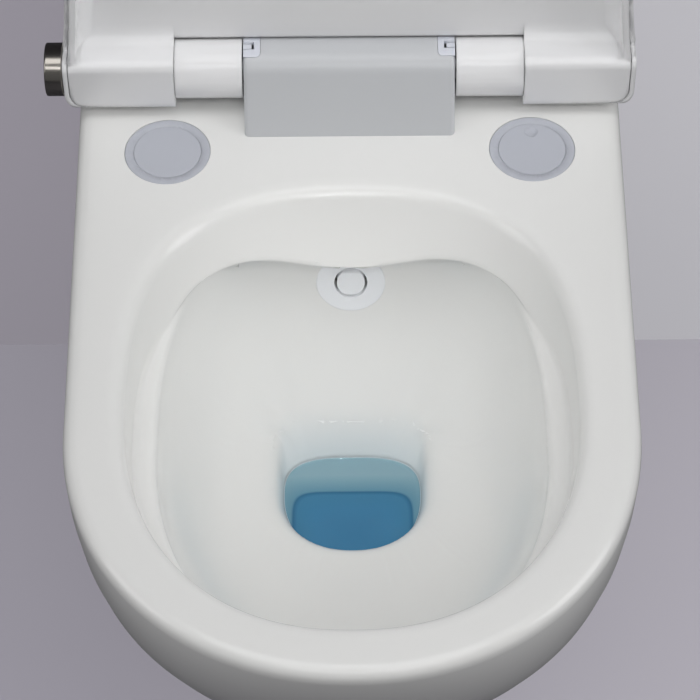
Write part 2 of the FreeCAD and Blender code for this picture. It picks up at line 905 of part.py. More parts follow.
def lid():
    """Lid panel with its skirt round the seat, two inner barrels and two ears."""
    outer = panel(lid_half_width_hinge, lid_half_width, lid_reach, lid_rear_reach,
                  -lid_skirt_low, barrel_radius)
    outer = outer.makeFillet(lid_edge_round, edges_at(outer, axis_z + barrel_radius, lid_reach))
    hollow = panel(lid_half_width_hinge - lid_skirt_wall, lid_half_width - lid_skirt_wall,
                   lid_reach - lid_skirt_wall, lid_rear_reach - overrun,
                   -lid_skirt_low - overrun, lid_underside)
    joined = [outer.cut(hollow)]
    for side in (-1, 1):
        inner = side * (cover_half_width + barrel_end_gap + run_gap)
        outer_x = side * (knuckle_inner_x - run_gap)
        joined.append(axis_rod(barrel_radius, inner, outer_x))
        joined.append(closed_block(inner, outer_x, 0, lid_rear_reach + overrun,
                                   lid_underside, barrel_radius))
        joined += lid_ear(side)
    body = fuse_all(joined)
    for side in (-1, 1):
        body = body.cut(axis_rod(bush_radius, side * cover_half_width, side * knuckle_inner_x))
        body = body.cut(axis_rod(axle_radius + run_gap * 2,
                                 side * (lid_half_width_hinge - hinge_corner),
                                 side * (lid_half_width_hinge + overrun)))
    return body


def axis_pipe(outer, inner, x0, x1):
    """Round tube along the hinge axis."""
    return pipe(outer, inner, closed_point(0, 0, x0), closed_point(0, 0, x1))


def lid_bushes():
    """Plain bearing bushes in the two lid barrels."""
    return Part.makeCompound([
        axis_pipe(bush_radius, axle_radius + fit_gap,
                  side * (cover_half_width + barrel_end_gap + run_gap),
                  side * (knuckle_inner_x - run_gap)) for side in (-1, 1)])


def damper(side):
    """Round soft closing damper inside a seat knuckle, turning on the axle."""
    return axis_pipe(damper_radius, axle_radius + fit_gap, *damper_place(side))


def seat_bumpers():
    """Four soft feet under the seat ring."""
    feet = []
    low = deck_height - axis_z + run_gap
    for side in (-1, 1):
        for x, reach in bumper_places(side, bumper_shares):
            feet.append(rod(bumper_radius, closed_point(reach, low, x),
                            closed_point(reach, -seat_skirt + overrun, x)))
    return Part.makeCompound(feet)


def lid_pads():
    """Four soft pads between the lid and the seat."""
    pads = []
    for side in (-1, 1):
        for x, reach in bumper_places(side, pad_shares):
            pads.append(rod(pad_radius, closed_point(reach, seat_top + run_gap, x),
                            closed_point(reach, lid_underside, x)))
    return Part.makeCompound(pads)


def axle():
    """Hollow steel hinge axle through cover, lid barrels and seat knuckles."""
    return axis_pipe(axle_radius, axle_bore, -axle_half_length, axle_half_length)


def hinge_base():
    """Deck plate with two cheeks that carry the axle."""
    plate = block(-base_half_width, base_half_width, axis_y - base_front, axis_y + base_rear,
                  deck_height, deck_height + base_plate)
    parts = [plate.makeFillet(base_plate, edges_along(plate, Vector(0, 0, 1)))]
    for side in (-1, 1):
        inner = side * (cheek_outer_x - cheek_thickness)
        outer = side * cheek_outer_x
        parts.append(axis_rod(cheek_radius, inner, outer))
        parts.append(block(inner, outer, axis_y - cheek_radius, axis_y + cheek_radius,
                           deck_height + base_plate / 2, axis_z))
    body = fuse_all(parts)
    body = body.cut(axis_rod(axle_radius + fit_gap / 2, -cover_half_width, cover_half_width))
    for side in (-1, 1):
        middle = Vector(side * hinge_bolt_x, axis_y, deck_height)
        body = body.cut(rod(hinge_bolt_radius + seat_gap, middle.add(Vector(0, 0, -overrun)),
                            middle.add(Vector(0, 0, base_plate + overrun))))
    return body


def hinge_bolts():
    """Two bolts that hold the hinge plate down on the deck."""
    bolts = []
    top = deck_height + base_plate
    low = deck_height - deck_slab - carrier_plate - hinge_nut - overrun
    for side in (-1, 1):
        x = side * hinge_bolt_x
        shank = rod(hinge_bolt_radius, Vector(x, axis_y, low), Vector(x, axis_y, top + overrun))
        head = rod(hinge_head_radius, Vector(x, axis_y, top),
                   Vector(x, axis_y, top + hinge_head_height))
        bolts.append(shank.fuse(head))
    return Part.makeCompound(bolts)


def hexagon(radius, centre, height):
    """Hexagonal prism standing on a centre point."""
    corners = []
    for step in range(nut_sides + 1):
        turn = 2 * math.pi * step / nut_sides
        corners.append(centre.add(Vector(radius * math.cos(turn), radius * math.sin(turn), 0)))
    return Part.Face(Part.makePolygon(corners)).extrude(Vector(0, 0, height))


def hinge_nuts():
    """Two nuts under the deck that clamp the hinge plate and the nozzle carrier."""
    nuts = []
    low = deck_height - deck_slab - carrier_plate - hinge_nut
    for side in (-1, 1):
        centre = Vector(side * hinge_bolt_x, axis_y, low)
        nut = hexagon(hinge_head_radius, centre, hinge_nut)
        nuts.append(nut.cut(rod(hinge_bolt_radius + fit_gap, centre.add(Vector(0, 0, -overrun)),
                                centre.add(Vector(0, 0, hinge_nut + overrun)))))
    return Part.makeCompound(nuts)


def arc_point(radius, angle, x=0):
    """Point round the hinge axis, its angle in radians from the upright to the front."""
    return closed_point(radius * math.sin(angle), radius * math.cos(angle), x)


def cover_profile(shrink):
    """Side profile of the hinge cover: round top and sloping flat front."""
    radius = cover_radius - shrink
    foot_reach = cover_foot_reach - shrink * 2
    spread = math.hypot(foot_reach, axis_rise)
    front = math.pi / 2 - math.acos(radius / spread) + math.atan2(axis_rise, foot_reach)
    foot = Vector(0, axis_y - foot_reach, deck_height)
    touch = arc_point(radius, front)
    back = arc_point(radius, -math.pi / 2)
    rear = Vector(0, axis_y + radius, deck_height)
    middle = arc_point(radius, (front - math.pi / 2) / 2)
    edges = [Part.makeLine(foot, touch), Part.Arc(touch, middle, back).toShape(),
             Part.makeLine(back, rear), Part.makeLine(rear, foot)]
    return Part.Wire(edges)


def cover_body(half_width, shrink):
    """Solid under the cover profile between two end planes."""
    face = Part.Face(cover_profile(shrink))
    face.translate(Vector(-half_width, 0, 0))
    return face.extrude(Vector(half_width * 2, 0, 0))


def arc_tab(inner_radius, outer_radius, x0, x1, first_angle, last_angle):
    """Curved tab round the hinge axis, angles in degrees from the upright to the front."""
    ring = axis_pipe(outer_radius, inner_radius, x0, x1)
    corners = [closed_point(0, 0, x0)]
    for angle in (first_angle, (first_angle + last_angle) / 2, last_angle):
        corners.append(arc_point(outer_radius * 2, math.radians(angle), x0))
    corners.append(corners[0])
    wedge = Part.Face(Part.makePolygon(corners)).extrude(Vector(x1 - x0, 0, 0))
    return ring.common(wedge)


def arc_degrees(length):
    """Angle in degrees that a length takes on the surface of the cover."""
    return math.degrees(length / cover_radius)


def latch_form(side, grow, outer_x, inner_radius, outer_radius):
    """D shaped tab of a latch plate, or its pocket in the cover when grown."""
    inner = side * (cover_half_width - latch_width - grow)
    tab = arc_tab(inner_radius, outer_radius, inner, side * outer_x,
                  latch_rear_angle - arc_degrees(grow), latch_front_angle + arc_degrees(grow))
    corners = [edge for edge in tab.Edges
               if edge.BoundBox.XMax - edge.BoundBox.XMin < fit_gap
               and abs(edge.CenterOfMass.x - inner) < fit_gap
               and edge.Length < latch_width / 2]
    return tab.makeFillet(latch_corner + grow, corners)


def hinge_cover():
    """Moulded cover over the middle of the hinge with a pocket for each latch."""
    body = cover_body(cover_half_width, 0)
    foot = [edge for edge in body.Edges
            if edge.BoundBox.XMax - edge.BoundBox.XMin < fit_gap
            and edge.BoundBox.YMin < axis_y - cover_foot_reach + overrun
            and edge.BoundBox.ZMax > deck_height + overrun]
    body = body.makeFillet(cover_foot_round, foot)
    inside = cover_body(cover_half_width - cover_wall, cover_wall)
    body = body.cut(inside.fuse(inside.translated(Vector(0, 0, -overrun))))
    body = body.cut(axis_rod(axle_radius + run_gap, -cover_half_width * 2, cover_half_width * 2))
    for side in (-1, 1):
        body = body.cut(latch_form(side, seat_gap, cover_half_width + overrun,
                                   cover_radius - latch_thickness - fit_gap,
                                   cover_radius + overrun))
    return body


def latch_plate(side):
    """Latch plate in the curve of the cover, slotted for its sliding tongue."""
    body = latch_form(side, 0, cover_half_width, cover_radius - latch_thickness, cover_radius)
    slot = arc_tab(cover_radius - latch_thickness - overrun, cover_radius + overrun,
                   side * (cover_half_width - slot_length), side * (cover_half_width + overrun),
                   slot_rear_angle, slot_front_angle)
    return body.cut(slot)


def latch_clip(side):
    """Sliding tongue of a latch with its stem down to the axle."""
    front = slot_front_angle - arc_degrees(run_gap)
    body = arc_tab(cover_radius - latch_thickness + run_gap, cover_radius,
                   cover_half_width - tongue_length, cover_half_width,
                   tongue_rear_angle, front)
    turn = math.radians((tongue_rear_angle + front) / 2)
    x = cover_half_width - stem_set
    stem = rod(stem_radius, arc_point(axle_radius + run_gap * 2, turn, x),
               arc_point(cover_radius - latch_thickness / 2, turn, x))
    body = body.fuse(stem).removeSplitter()
    if side < 0:
        body = body.mirror(Vector(0, 0, 0), Vector(1, 0, 0))
    return body


def cap_ring(side):
    """Outer ring of a deck cap with its sleeve through the deck."""
    top = Vector(side * cap_x, cap_y, deck_height)
    down = Vector(0, 0, -1)
    flange = rod(cap_radius, top, top.add(down * cap_flange))
    flange = flange.makeFillet(cap_edge, edges_at(flange, deck_height, cap_radius))
    sleeve = rod(cap_sleeve_radius, top.add(down * (cap_flange / 2)),
                 top.add(down * cap_sleeve_length))
    body = flange.fuse(sleeve)
    body = body.cut(rod(disc_radius + seat_gap, top.sub(down * overrun),
                        top.add(down * (disc_thickness + fit_gap))))
    return body.cut(rod(cup_radius + fit_gap, top,
                        top.add(down * (cap_sleeve_length + overrun))))


def cap_disc(side):
    """Round inner disc of a deck cap; the right one has a finger dimple at its rear."""
    top = Vector(side * cap_x, cap_y, deck_height)
    disc = rod(disc_radius, top, top.add(Vector(0, 0, -disc_thickness)))
    disc = disc.makeFillet(cap_edge, edges_at(disc, deck_height, disc_radius))
    if side > 0:
        ball = (dimple_width ** 2 / 4 + dimple_depth ** 2) / (2 * dimple_depth)
        back = top.add(Vector(0, disc_radius - dimple_set, ball - dimple_depth))
        disc = disc.cut(Part.makeSphere(ball, back))
    return disc


def under_disc(side):
    """Point on the middle line of a cap, just under its disc."""
    return Vector(side * cap_x, cap_y, deck_height - disc_thickness - fit_gap * 2)


def filler_cup():
    """Open cup under the left cap for cleaning liquid."""
    top = under_disc(-1)
    down = Vector(0, 0, -1)
    body = rod(cup_radius, top, top.add(down * cup_depth))
    body = body.makeFillet(cup_wall * 2, edges_at(body, top.z - cup_depth, cup_radius))
    return body.cut(rod(cup_radius - cup_wall, top.sub(down * overrun),
                        top.add(down * (cup_depth - cup_wall))))


def switch_well():
    """Closed well under the right cap that holds the main switch."""
    top = under_disc(1)
    down = Vector(0, 0, -1)
    depth = cup_depth / 2
    body = rod(cup_radius, top, top.add(down * depth))
    body = body.cut(rod(cup_radius - cup_wall, top.sub(down * overrun),
                        top.add(down * (depth - cup_wall * 2))))
    body = body.cut(block(cap_x - switch_half, cap_x + switch_half, cap_y - switch_long,
                          cap_y + switch_long, top.z - depth - overrun, top.z))
    return body.cut(switch_pin(fit_gap, switch_pin_reach + seat_gap))


def switch_pin(grow, reach):
    """Pivot pin of the rocker, or its bearing in the well when grown."""
    height = deck_height - switch_drop + fit_gap * 10
    return rod(switch_pin_radius + grow, Vector(cap_x - switch_half - reach, cap_y, height),
               Vector(cap_x + switch_half + reach, cap_y, height))


def switch_rocker():
    """Rocker of the main switch with its pivot pin."""
    left = cap_x - switch_half + run_gap
    near = cap_y - switch_long + run_gap * 1.5
    far = cap_y + switch_long - run_gap * 1.5
    low = deck_height - switch_drop
    outline = [Vector(left, near, low), Vector(left, near, low + switch_rise * switch_low_share),
               Vector(left, cap_y, low + switch_rise * switch_middle_share),
               Vector(left, far, low + switch_rise), Vector(left, far, low)]
    outline.append(outline[0])
    body = Part.Face(Part.makePolygon(outline)).extrude(
        Vector((switch_half - run_gap) * 2, 0, 0))
    return body.fuse(switch_pin(0, switch_pin_reach)).removeSplitter()


def knob():
    """Turning knob, a cup with a hub on the shaft."""
    body = axis_rod(knob_radius, knob_inner_x, knob_outer_x)
    body = body.makeFillet(knob_edge, [edge for edge in body.Edges
                                       if edge.BoundBox.XMax - edge.BoundBox.XMin < fit_gap])
    depth = knob_button_thickness + knob_button_travel + seat_gap
    body = body.cut(axis_rod(knob_button_radius + seat_gap, knob_outer_x - overrun,
                             knob_outer_x + depth))
    return body.cut(axis_rod(knob_shaft_radius + fit_gap, knob_inner_x + overrun,
                             knob_outer_x - overrun))


def knob_shaft():
    """Shaft of the knob inside the hollow axle."""
    return axis_rod(knob_shaft_radius, knob_shaft_inner_x, knob_inner_x - knob_shaft_grip)


def knob_button():
    """Push button in the outer face of the knob."""
    body = axis_rod(knob_button_radius, knob_outer_x + knob_button_thickness, knob_outer_x)
    return body.makeFillet(knob_edge / 2, [edge for edge in body.Edges
                                           if edge.BoundBox.XMax < knob_outer_x + fit_gap])


def encoder():
    """Rotary encoder inside the axle that reads the knob."""
    start = knob_shaft_inner_x + fit_gap * 2
    return axis_rod(axle_bore - fit_gap, start, start + encoder_length)


def right_end_cap():
    """Dark plug in the right end of the axle."""
    head = axis_rod(end_cap_radius, axle_half_length, axle_half_length + end_cap_height)
    stem = axis_rod(axle_bore - fit_gap, axle_half_length - end_cap_stem,
                    axle_half_length + end_cap_height / 2)
    return head.fuse(stem).removeSplitter()


def rosette():
    """Round plate in the rear wall of the well round the nozzle tip."""
    face = rosette_direction()
    disc = rod(rosette_radius, rosette_centre.sub(face * (rosette_thickness - fit_gap)),
               rosette_centre)
    front = [edge for edge in disc.Edges
             if abs(edge.CenterOfMass.sub(rosette_centre).dot(face)) < fit_gap
             and edge.Length > rosette_radius]
    disc = disc.makeFillet(overrun / 2, front)
    return disc.cut(rod(rosette_bore, along_nozzle(-guide_start * 2), along_nozzle(guide_start)))


def nozzle_tip():
    """Round tip of the shower arm with its spray face flush in the rosette."""
    face = rosette_direction()
    body = rod(nozzle_radius, along_nozzle(-nozzle_tip_length), along_nozzle(nozzle_radius))
    keep = rod(rosette_radius, rosette_centre.sub(face * (nozzle_tip_length * 3)),
               rosette_centre.sub(face * fit_gap))
    body = body.common(keep)
    return body.cut(rod(nozzle_duct_radius + fit_gap, along_nozzle(-nozzle_tip_length - overrun),
                        along_nozzle(-nozzle_tip_length + nozzle_duct_depth)))


def nozzle_arm():
    """Shower arm with a rack along its underside."""
    end = -nozzle_tip_length
    body = rod(arm_radius, along_nozzle(end), along_nozzle(-arm_length))
    spigot = rod(nozzle_duct_radius, along_nozzle(end - overrun),
                 along_nozzle(end + nozzle_duct_depth))
    body = body.fuse(spigot)
    down = nozzle_down()
    pitch = 2 * math.pi * pinion_radius / pinion_teeth
    count = int((arm_length - nozzle_tip_length - pitch) / pitch)
    width = Vector(pinion_width / 2 + seat_gap, 0, 0)
    along = nozzle_direction() * (pitch * tooth_share)
    for step in range(count):
        place = along_nozzle(-arm_length + pitch * (step + 1 / 2))
        place = place.add(down * (arm_radius - tooth_height))
        corners = [place.sub(width).sub(along), place.add(width).sub(along),
                   place.add(width).add(along), place.sub(width).add(along)]
        corners.append(corners[0])
        body = body.cut(Part.Face(Part.makePolygon(corners)).extrude(down * (tooth_height * 2)))
    return body


def pinion_centre():
    """Middle of the drive pinion under the arm."""
    return along_nozzle(-pinion_back).add(
        nozzle_down() * (arm_radius + pinion_radius + tooth_gap))


def across(point, distance):
    """Point moved along X."""
    return point.add(Vector(distance, 0, 0))


def pinion():
    """Drive pinion of the shower arm with its hub on the motor shaft."""
    start = across(pinion_centre(), -pinion_width / 2)
    end = across(pinion_centre(), pinion_width / 2)
    body = rod(pinion_radius, start, end)
    for step in range(pinion_teeth):
        turn = 2 * math.pi * step / pinion_teeth
        place = Vector(0, math.cos(turn), math.sin(turn)) * pinion_radius
        body = body.cut(rod(tooth_height / 2 + tooth_gap, across(start.add(place), -overrun),
                            across(end.add(place), overrun)))
    return body.cut(rod(motor_shaft, across(start, -overrun), across(end, overrun)))


def motor_face():
    """Middle of the motor face that lies on the bracket."""
    return across(pinion_centre(), pinion_width / 2 + motor_offset)


def nozzle_motor():
    """Motor beside the pinion, fixed to the carrier bracket."""
    near = motor_face()
    body = rod(motor_radius, near, across(near, motor_length))
    shaft = rod(motor_shaft - fit_gap, across(near, overrun),
                across(pinion_centre(), -pinion_width / 2))
    return body.fuse(shaft).removeSplitter()


def nozzle_carrier():
    """Carrier clamped under the deck, with the guide tube and the motor bracket."""
    under = deck_height - deck_slab
    plate = block(-carrier_half_width, carrier_half_width, axis_y - carrier_front,
                  axis_y + carrier_rear, under - carrier_plate, under)
    start = along_nozzle(-guide_start)
    end = along_nozzle(-guide_start - guide_length)
    tube = rod(arm_radius + guide_clearance + guide_wall, start, end)
    line_z = rosette_centre.z + (axis_y - rosette_centre.y) * math.tan(math.radians(nozzle_tilt))
    web = block(-carrier_web / 2, carrier_web / 2, axis_y - carrier_front,
                axis_y + carrier_rear, line_z, under)
    near = motor_face()
    bracket = block(near.x - bracket_thickness, near.x, near.y - motor_radius,
                    near.y + motor_radius, near.z - bracket_drop, under - carrier_plate / 2)
    body = fuse_all([plate, tube, web, bracket])
    body = body.cut(rod(nozzle_radius + guide_clearance / 2, along_nozzle(-guide_start + overrun),
                        along_nozzle(-guide_start - guide_length - overrun)))
    body = body.cut(rod(motor_shaft + run_gap, across(near, overrun),
                        across(near, -bracket_thickness - overrun)))
    middle = pinion_centre()
    body = body.cut(rod(pinion_radius + tooth_height, across(middle, -pinion_width),
                        across(middle, pinion_width / 2 + run_gap)))
    for side in (-1, 1):
        centre = Vector(side * hinge_bolt_x, axis_y, under)
        body = body.cut(rod(hinge_bolt_radius + seat_gap, centre.add(Vector(0, 0, overrun)),
                            centre.add(Vector(0, 0, -carrier_plate - overrun))))
    return body


def service_plate(side):
    """Plate that closes a service window from inside and carries the modules."""
    front = -web_wall + overrun
    back = module_y - overrun
    plate = block(side * (window_inner_x - plate_margin), side * (window_outer_x + plate_margin),
                  module_y, -web_wall, window_bottom - plate_foot, window_top + plate_foot)
    for x, z in window_screws(side):
        plate = plate.cut(rod(screw_radius, Vector(x, front, z), Vector(x, back, z)))
    radius = thread_neck_radius if side < 0 else power_radius
    x = side * module_x
    return plate.cut(rod(radius + fit_gap, Vector(x, front, inlet_z), Vector(x, back, inlet_z)))


def plate_screws(side):
    """Four screws of a service plate, heads on its inner face."""
    screws = []
    for x, z in window_screws(side):
        shank = rod(screw_radius - fit_gap, Vector(x, module_y - overrun / 4, z),
                    Vector(x, -web_wall + screw_grip, z))
        head = rod(screw_head_radius, Vector(x, module_y - screw_head_height, z),
                   Vector(x, module_y, z))
        screws.append(shank.fuse(head))
    return screws


def water_inlet():
    """Threaded water connection with its valve body on the left service plate."""
    x = -module_x
    z = inlet_z
    thread = rod(thread_radius, Vector(x, -thread_start, z), Vector(x, -web_wall, z))
    neck = rod(thread_neck_radius, Vector(x, -web_wall + overrun, z),
               Vector(x, module_y - overrun, z))
    body = rounded_block(x - valve_half, x + valve_half, module_y - valve_length, module_y,
                         z - valve_half, z + valve_half, valve_round)
    middle_y = module_y - valve_length / 2
    coil = rod(coil_radius, Vector(x, middle_y, z), Vector(x, middle_y, z + coil_height))
    body = fuse_all([thread, neck, body, coil])
    return body.cut(rod(thread_bore, Vector(x, overrun, z), Vector(x, module_y - overrun, z)))


def power_inlet():
    """Appliance inlet for the mains lead on the right service plate."""
    x = module_x
    z = inlet_z
    shell = rod(power_radius, Vector(x, -power_set, z), Vector(x, module_y - overrun, z))
    collar = rod(power_radius + power_collar, Vector(x, module_y - overrun, z),
                 Vector(x, module_y, z))
    body = fuse_all([shell, collar])
    body = body.cut(rod(power_well_radius, Vector(x, overrun, z),
                        Vector(x, module_y + power_floor, z)))
    pins = []
    for step in range(pin_count):
        turn = math.pi / 2 + 2 * math.pi * step / pin_count
        pin_x = x + pin_circle * math.cos(turn)
        pin_z = z + pin_circle * math.sin(turn)
        pins.append(rod(pin_radius, Vector(pin_x, module_y, pin_z),
                        Vector(pin_x, -pin_set, pin_z)))
    return fuse_all([body] + pins)


def heater():
    """Flow heater on the left service plate with its water stub."""
    body = rounded_block(-window_inner_x - module_gap, -window_outer_x,
                         module_y - heater_length, module_y,
                         heater_low, heater_low + heater_height, module_round)
    x = -window_inner_x - heater_stub_set
    z = heater_low + heater_stub_rise
    stub = rod(hose_radius, Vector(x, module_y - heater_length + overrun, z),
               Vector(x, module_y - heater_length - stub_length, z))
    return body.fuse(stub).removeSplitter()


def pump():
    """Small pressure pump on the left service plate, a round motor on a square head."""
    x = -module_x
    head = rounded_block(x - pump_half, x + pump_half, module_y - pump_head, module_y,
                         pump_z - pump_half, pump_z + pump_half, module_round)
    motor = rod(pump_motor_radius, Vector(x, module_y - pump_head + overrun, pump_z),
                Vector(x, module_y - pump_head - pump_motor, pump_z))
    return head.fuse(motor).removeSplitter()


def control_box():
    """Power supply and control unit on the right service plate, with cooling fins."""
    left = window_inner_x - box_side_gap
    body = rounded_block(left, window_outer_x, module_y - box_length, module_y,
                         box_high - box_height, box_high, module_round)
    pitch = box_length / (fin_count + 1)
    half = pitch * fin_share
    for step in range(fin_count):
        y = module_y - pitch * (step + 1)
        body = body.cut(block(left - overrun, window_outer_x + overrun, y - half, y + half,
                              box_high - fin_depth, box_high + overrun))
    return body


def fan_housing():
    """Round housing of the odour fan on the right service plate, open at its inlet."""
    x = module_x
    middle = module_y - fan_depth / 2
    body = rod(fan_radius, Vector(x, module_y, fan_z), Vector(x, module_y - fan_depth, fan_z))
    spout = rod(fan_spout, Vector(x, middle, fan_z), Vector(x, middle, fan_z - fan_spout_reach))
    body = body.fuse(spout)
    room = rod(fan_radius - fan_wall, Vector(x, module_y - fan_wall, fan_z),
               Vector(x, module_y - fan_depth + fan_wall, fan_z))
    eye = rod(fan_eye, Vector(x, module_y - fan_depth - overrun, fan_z),
              Vector(x, middle, fan_z))
    bore = rod(fan_spout - fan_wall, Vector(x, middle, fan_z),
               Vector(x, middle, fan_z - fan_spout_reach - overrun))
    body = cut_all(body, [room, eye, bore])
    pin = rod(fan_shaft, Vector(x, module_y - fan_wall / 2, fan_z), Vector(x, middle, fan_z))
    return body.fuse(pin)


def fan_impeller():
    """Bladed wheel of the odour fan."""
    x = module_x
    y = module_y - fan_wall - run_gap * 2
    depth = fan_depth - fan_wall * 2 - run_gap * 4
    reach = fan_radius - fan_wall - run_gap * 4
    disc = rod(reach, Vector(x, y, fan_z), Vector(x, y - fan_wall / 2, fan_z))
    hub = rod(fan_shaft * 2, Vector(x, y, fan_z), Vector(x, y - depth * hub_share, fan_z))
    blades = []
    for step in range(blade_count):
        blade = block(x + reach * blade_start_share, x + reach * blade_end_share, y, y - depth,
                      fan_z - fan_wall / 3, fan_z + fan_wall / 3)
        blade.rotate(Vector(x, 0, fan_z), Vector(0, 1, 0), 360 / blade_count * step)
        blades.append(blade)
    body = fuse_all([disc, hub] + blades)
    return body.cut(rod(fan_shaft + fit_gap, Vector(x, y + overrun, fan_z),
                        Vector(x, y - depth - overrun, fan_z)))


def outlet_seal():
    """Lip seal in the groove round the outlet spigot."""
    start = Vector(0, -spigot_length + fit_gap, -outlet_drop)
    return pipe(spigot_radius + spigot_groove - fit_gap, spigot_radius + seal_gap, start,
                start.add(Vector(0, seal_length, 0)))


def inlet_seal():
    """Rubber connector in the flush inlet."""
    return pipe(inlet_radius, inlet_radius - seal_wall, Vector(0, -seal_length, inlet_rise),
                Vector(0, -overrun, inlet_rise))


save("bowl", bowl())
save("hinge_base", hinge_base())
save("hinge_cover", hinge_cover())
save("latch_plate_left", latch_plate(-1))
save("latch_plate_right", latch_plate(1))
save("latch_clip_left", latch_clip(-1))
save("latch_clip_right", latch_clip(1))
save("hinge_axle", axle())
save("hinge_bolts", hinge_bolts())
save("hinge_nuts", hinge_nuts())
save("seat", raised(seat()))
save("seat_bumpers", raised(seat_bumpers()))
save("damper_left", raised(damper(-1)))
save("damper_right", raised(damper(1)))
save("lid", raised(lid()))
save("lid_pads", raised(lid_pads()))
save("lid_bushes", raised(lid_bushes()))
save("knob", knob())
save("knob_shaft", knob_shaft())
save("knob_button", knob_button())
save("knob_encoder", encoder())
save("axle_end_cap", right_end_cap())
save("cap_ring_left", cap_ring(-1))
save("cap_ring_right", cap_ring(1))
save("cap_disc_left", cap_disc(-1))
save("cap_disc_right", cap_disc(1))
save("filler_cup", filler_cup())
save("switch_well", switch_well())
save("switch_rocker", switch_rocker())
save("nozzle_rosette", rosette())
save("nozzle_tip", nozzle_tip())
save("nozzle_arm", nozzle_arm())
save("nozzle_carrier", nozzle_carrier())
save("nozzle_pinion", pinion())
save("nozzle_motor", nozzle_motor())
save("service_plate_left", service_plate(-1))
save("service_plate_right", service_plate(1))
save("service_screws", Part.makeCompound(plate_screws(-1) + plate_screws(1)))
save("water_inlet_valve", water_inlet())
save("power_inlet", power_inlet())
save("flow_heater", heater())
save("pressure_pump", pump())
save("control_box", control_box())
save("fan_housing", fan_housing())
save("fan_impeller", fan_impeller())
save("outlet_seal", outlet_seal())
save("inlet_seal", inlet_seal())
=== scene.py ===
import bmesh
import bpy
import json
import math
import numpy as np
from mathutils import Matrix, Vector
from mathutils.bvhtree import BVHTree
from mathutils.geometry import delaunay_2d_cdt

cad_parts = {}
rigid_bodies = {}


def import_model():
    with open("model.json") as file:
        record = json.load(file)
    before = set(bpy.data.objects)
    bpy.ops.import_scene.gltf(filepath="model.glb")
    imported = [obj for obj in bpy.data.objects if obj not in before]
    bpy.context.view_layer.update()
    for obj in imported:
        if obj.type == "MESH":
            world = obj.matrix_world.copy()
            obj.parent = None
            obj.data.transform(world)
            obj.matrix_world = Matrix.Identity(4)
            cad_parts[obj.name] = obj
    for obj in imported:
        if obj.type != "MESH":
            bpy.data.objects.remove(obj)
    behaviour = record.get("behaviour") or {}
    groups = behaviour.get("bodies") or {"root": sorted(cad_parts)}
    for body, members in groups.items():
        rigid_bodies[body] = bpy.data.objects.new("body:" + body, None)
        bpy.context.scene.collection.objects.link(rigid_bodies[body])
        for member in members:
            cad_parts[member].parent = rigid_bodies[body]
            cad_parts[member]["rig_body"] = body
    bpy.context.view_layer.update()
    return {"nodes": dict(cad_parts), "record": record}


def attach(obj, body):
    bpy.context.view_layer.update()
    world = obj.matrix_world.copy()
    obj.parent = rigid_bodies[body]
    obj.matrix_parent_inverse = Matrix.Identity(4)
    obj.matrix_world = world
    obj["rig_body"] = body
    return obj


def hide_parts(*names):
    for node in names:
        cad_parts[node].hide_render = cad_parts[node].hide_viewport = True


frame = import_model()
nodes = frame["nodes"]

MM = 0.001

# Sizes of the casting in millimetres, the same as the solids have.
deck_height = 80.0
bowl_height = 350.0
bowl_length = 580.0
half_width_wall = 180.8
half_width_widest = 174.0
widest_reach = 400.0
foot_length = 300.0
foot_half_width_wall = 125.0
foot_half_width_front = 118.0
foot_widest_reach = 150.0
hull_front_power = 2.1
rim_outer_round = 9.0
rim_inner_round = 8.0
foot_round = 20.0

opening = {"width": 138.2, "rear": -219.6, "front": -545.3, "middle": -385.0,
           "rear_power": 2.7, "front_power": 2.25}
rim_foot = {"width": 135.0, "rear": -248.0, "front": -542.5, "middle": -385.0,
            "rear_power": 2.7, "front_power": 2.25}
well_top = {"width": 121.5, "rear": -228.0, "front": -541.0, "middle": -385.0,
            "rear_power": 3.0, "front_power": 2.2}
sump_edge = {"width": 49.5, "rear": -293.0, "front": -378.0, "middle": -325.0,
             "rear_power": 3.0, "front_power": 2.2}
sump_floor = {"width": 22.0, "rear": -296.0, "front": -342.0, "middle": -325.0,
              "rear_power": 3.0, "front_power": 2.2}
ledge_depth = 45.0
ledge_slope = 0.04
lip_centre_height = 29.0
lip_peak_x = 81.0
lip_peak_height = 48.0
sump_edge_depth = 175.0
sump_floor_depth = 293.0
well_power = 1.7
water_height = -115.0
dip_height = -165.0

# Only the skin has these: the share of the way from the sump's edge to its floor where
# the water stands, and the straight ramp behind the water, where the solid is curved.
water_share = 0.12
ramp_top = -66.0
ramp_top_y = -258.5
ramp_slope = 0.704
ramp_half_width = 55.0
ramp_side = 9.0

# Shares of the well's depth that get a row of the skin; the first one is eased.
well_shares = (0.1, 0.2, 0.3, 0.4, 0.5, 0.6, 0.7, 0.79, 0.87, 0.93)
well_first_round = 9.0

# Zone round the foot of the ramp that is smoothed, in metres; it shrinks each round.
ease_rounds = 14
ease_half_width = 0.085
ease_side_step = 0.0015
ease_front = -0.385
ease_front_step = 0.003
ease_rear = -0.236
ease_low, ease_high = -0.108, -0.030

rosette_centre = Vector((0.0, -233.2, 1.0))
rosette_radius = 23.0
rosette_tilt = math.radians(16.0)
rosette_gap = 0.4

# Wall round the rosette: where it is pressed flat, how far out that fades, and the hole
# in the skin for the nozzle's bore, a little smaller than the rosette that covers it.
flat_low, flat_high = -50, 34
flat_front = -260
flat_half_width = 50
flat_reach = 20
flat_margin, flat_fade = 14.0, 13.0
bore_radius = 18.5
bore_reach = 6

# Round holes through the deck: middle across, middle along and radius.
deck_holes = [(side * x, y, radius) for side in (-1, 1)
              for x, y, radius in ((118.4, -186.3, 28.0), (38.0, -136.8, 6.5))]

# Columns of the skin round the casting.
side_columns = 36
front_columns = 72
inner_columns = 320


def signed_power(value, power):
    return math.copysign(abs(value) ** power, value)


